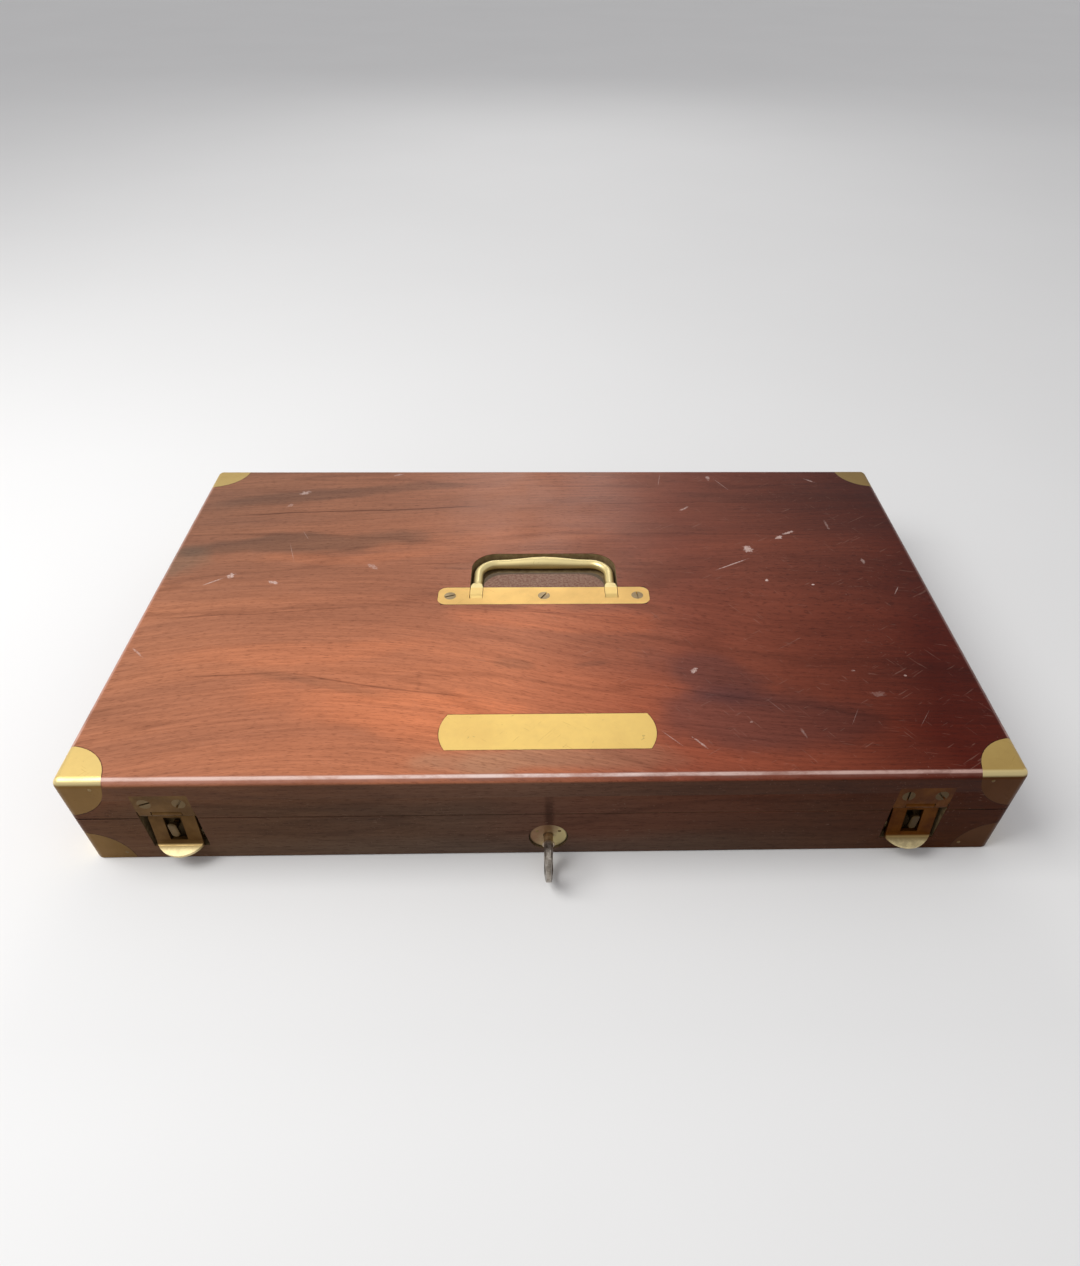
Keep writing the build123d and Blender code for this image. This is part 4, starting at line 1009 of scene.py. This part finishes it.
def world():
    """A pale studio: light low down, and greyer overhead."""
    studio = bpy.data.worlds.new("studio")
    bpy.context.scene.world = studio
    studio.use_nodes = True
    tree = studio.node_tree
    background = tree.nodes["Background"]
    direction = tree.nodes.new("ShaderNodeTexCoord")
    height = tree.nodes.new("ShaderNodeSeparateXYZ")
    ramp = tree.nodes.new("ShaderNodeValToRGB")
    tree.links.new(direction.outputs["Generated"], height.inputs[0])
    tree.links.new(height.outputs["Z"], ramp.inputs[0])
    tree.links.new(ramp.outputs[0], background.inputs["Color"])
    low_light, high_light = ramp.color_ramp.elements
    low_light.position, low_light.color = 0.0, (0.62, 0.62, 0.63, 1)
    high_light.position, high_light.color = 0.75, (0.52, 0.52, 0.54, 1)
    background.inputs["Strength"].default_value = 1.0


def softbox(name, strength, place, aim, size):
    data = bpy.data.lights.new(name, "AREA")
    data.energy = strength
    data.shape = "RECTANGLE"
    data.size, data.size_y = size
    light = bpy.data.objects.new(name, data)
    bpy.context.scene.collection.objects.link(light)
    light.location = place
    light.rotation_euler = (Vector(aim) - Vector(place)).to_track_quat("-Z", "Y").to_euler()


def camera():
    """The photograph's camera: its place in case widths, its angles, and its focal length in pixels."""
    case_width = 2 * half_w
    place = Vector((0.0008, -0.8710, 0.7602)) * case_width
    pitch, yaw, roll = 0.79594, 0.03528, 0.01666
    focal, frame_height, below_middle, right_of_middle = 829.1, 1266, 98.9, 28.3
    ahead = Vector((sin(yaw) * cos(pitch), cos(yaw) * cos(pitch), -sin(pitch)))
    right = Vector((cos(yaw), -sin(yaw), 0))
    up = right.cross(ahead)
    across = cos(roll) * right + sin(roll) * up
    upward = -sin(roll) * right + cos(roll) * up
    data = bpy.data.cameras.new("camera")
    data.sensor_width = 36
    data.lens = focal / frame_height * data.sensor_width
    data.shift_x = -right_of_middle / frame_height
    data.shift_y = below_middle / frame_height
    view = bpy.data.objects.new("camera", data)
    bpy.context.scene.collection.objects.link(view)
    turn = Matrix((across, upward, -ahead)).transposed().to_4x4()
    view.matrix_world = Matrix.Translation(place) @ turn
    bpy.context.scene.camera = view


floor()
world()
softbox("key_softbox", 11.5, place=(-0.75, -0.15, 1.05), aim=(-0.05, 0, 0.03), size=(0.8, 0.8))
softbox("back_softbox", 3.2, place=(0.0, 1.75, 1.00), aim=(-0.01, 0.09, 0.057), size=(0.46, 0.30))
camera()
bpy.context.scene.view_settings.view_transform = "Standard"
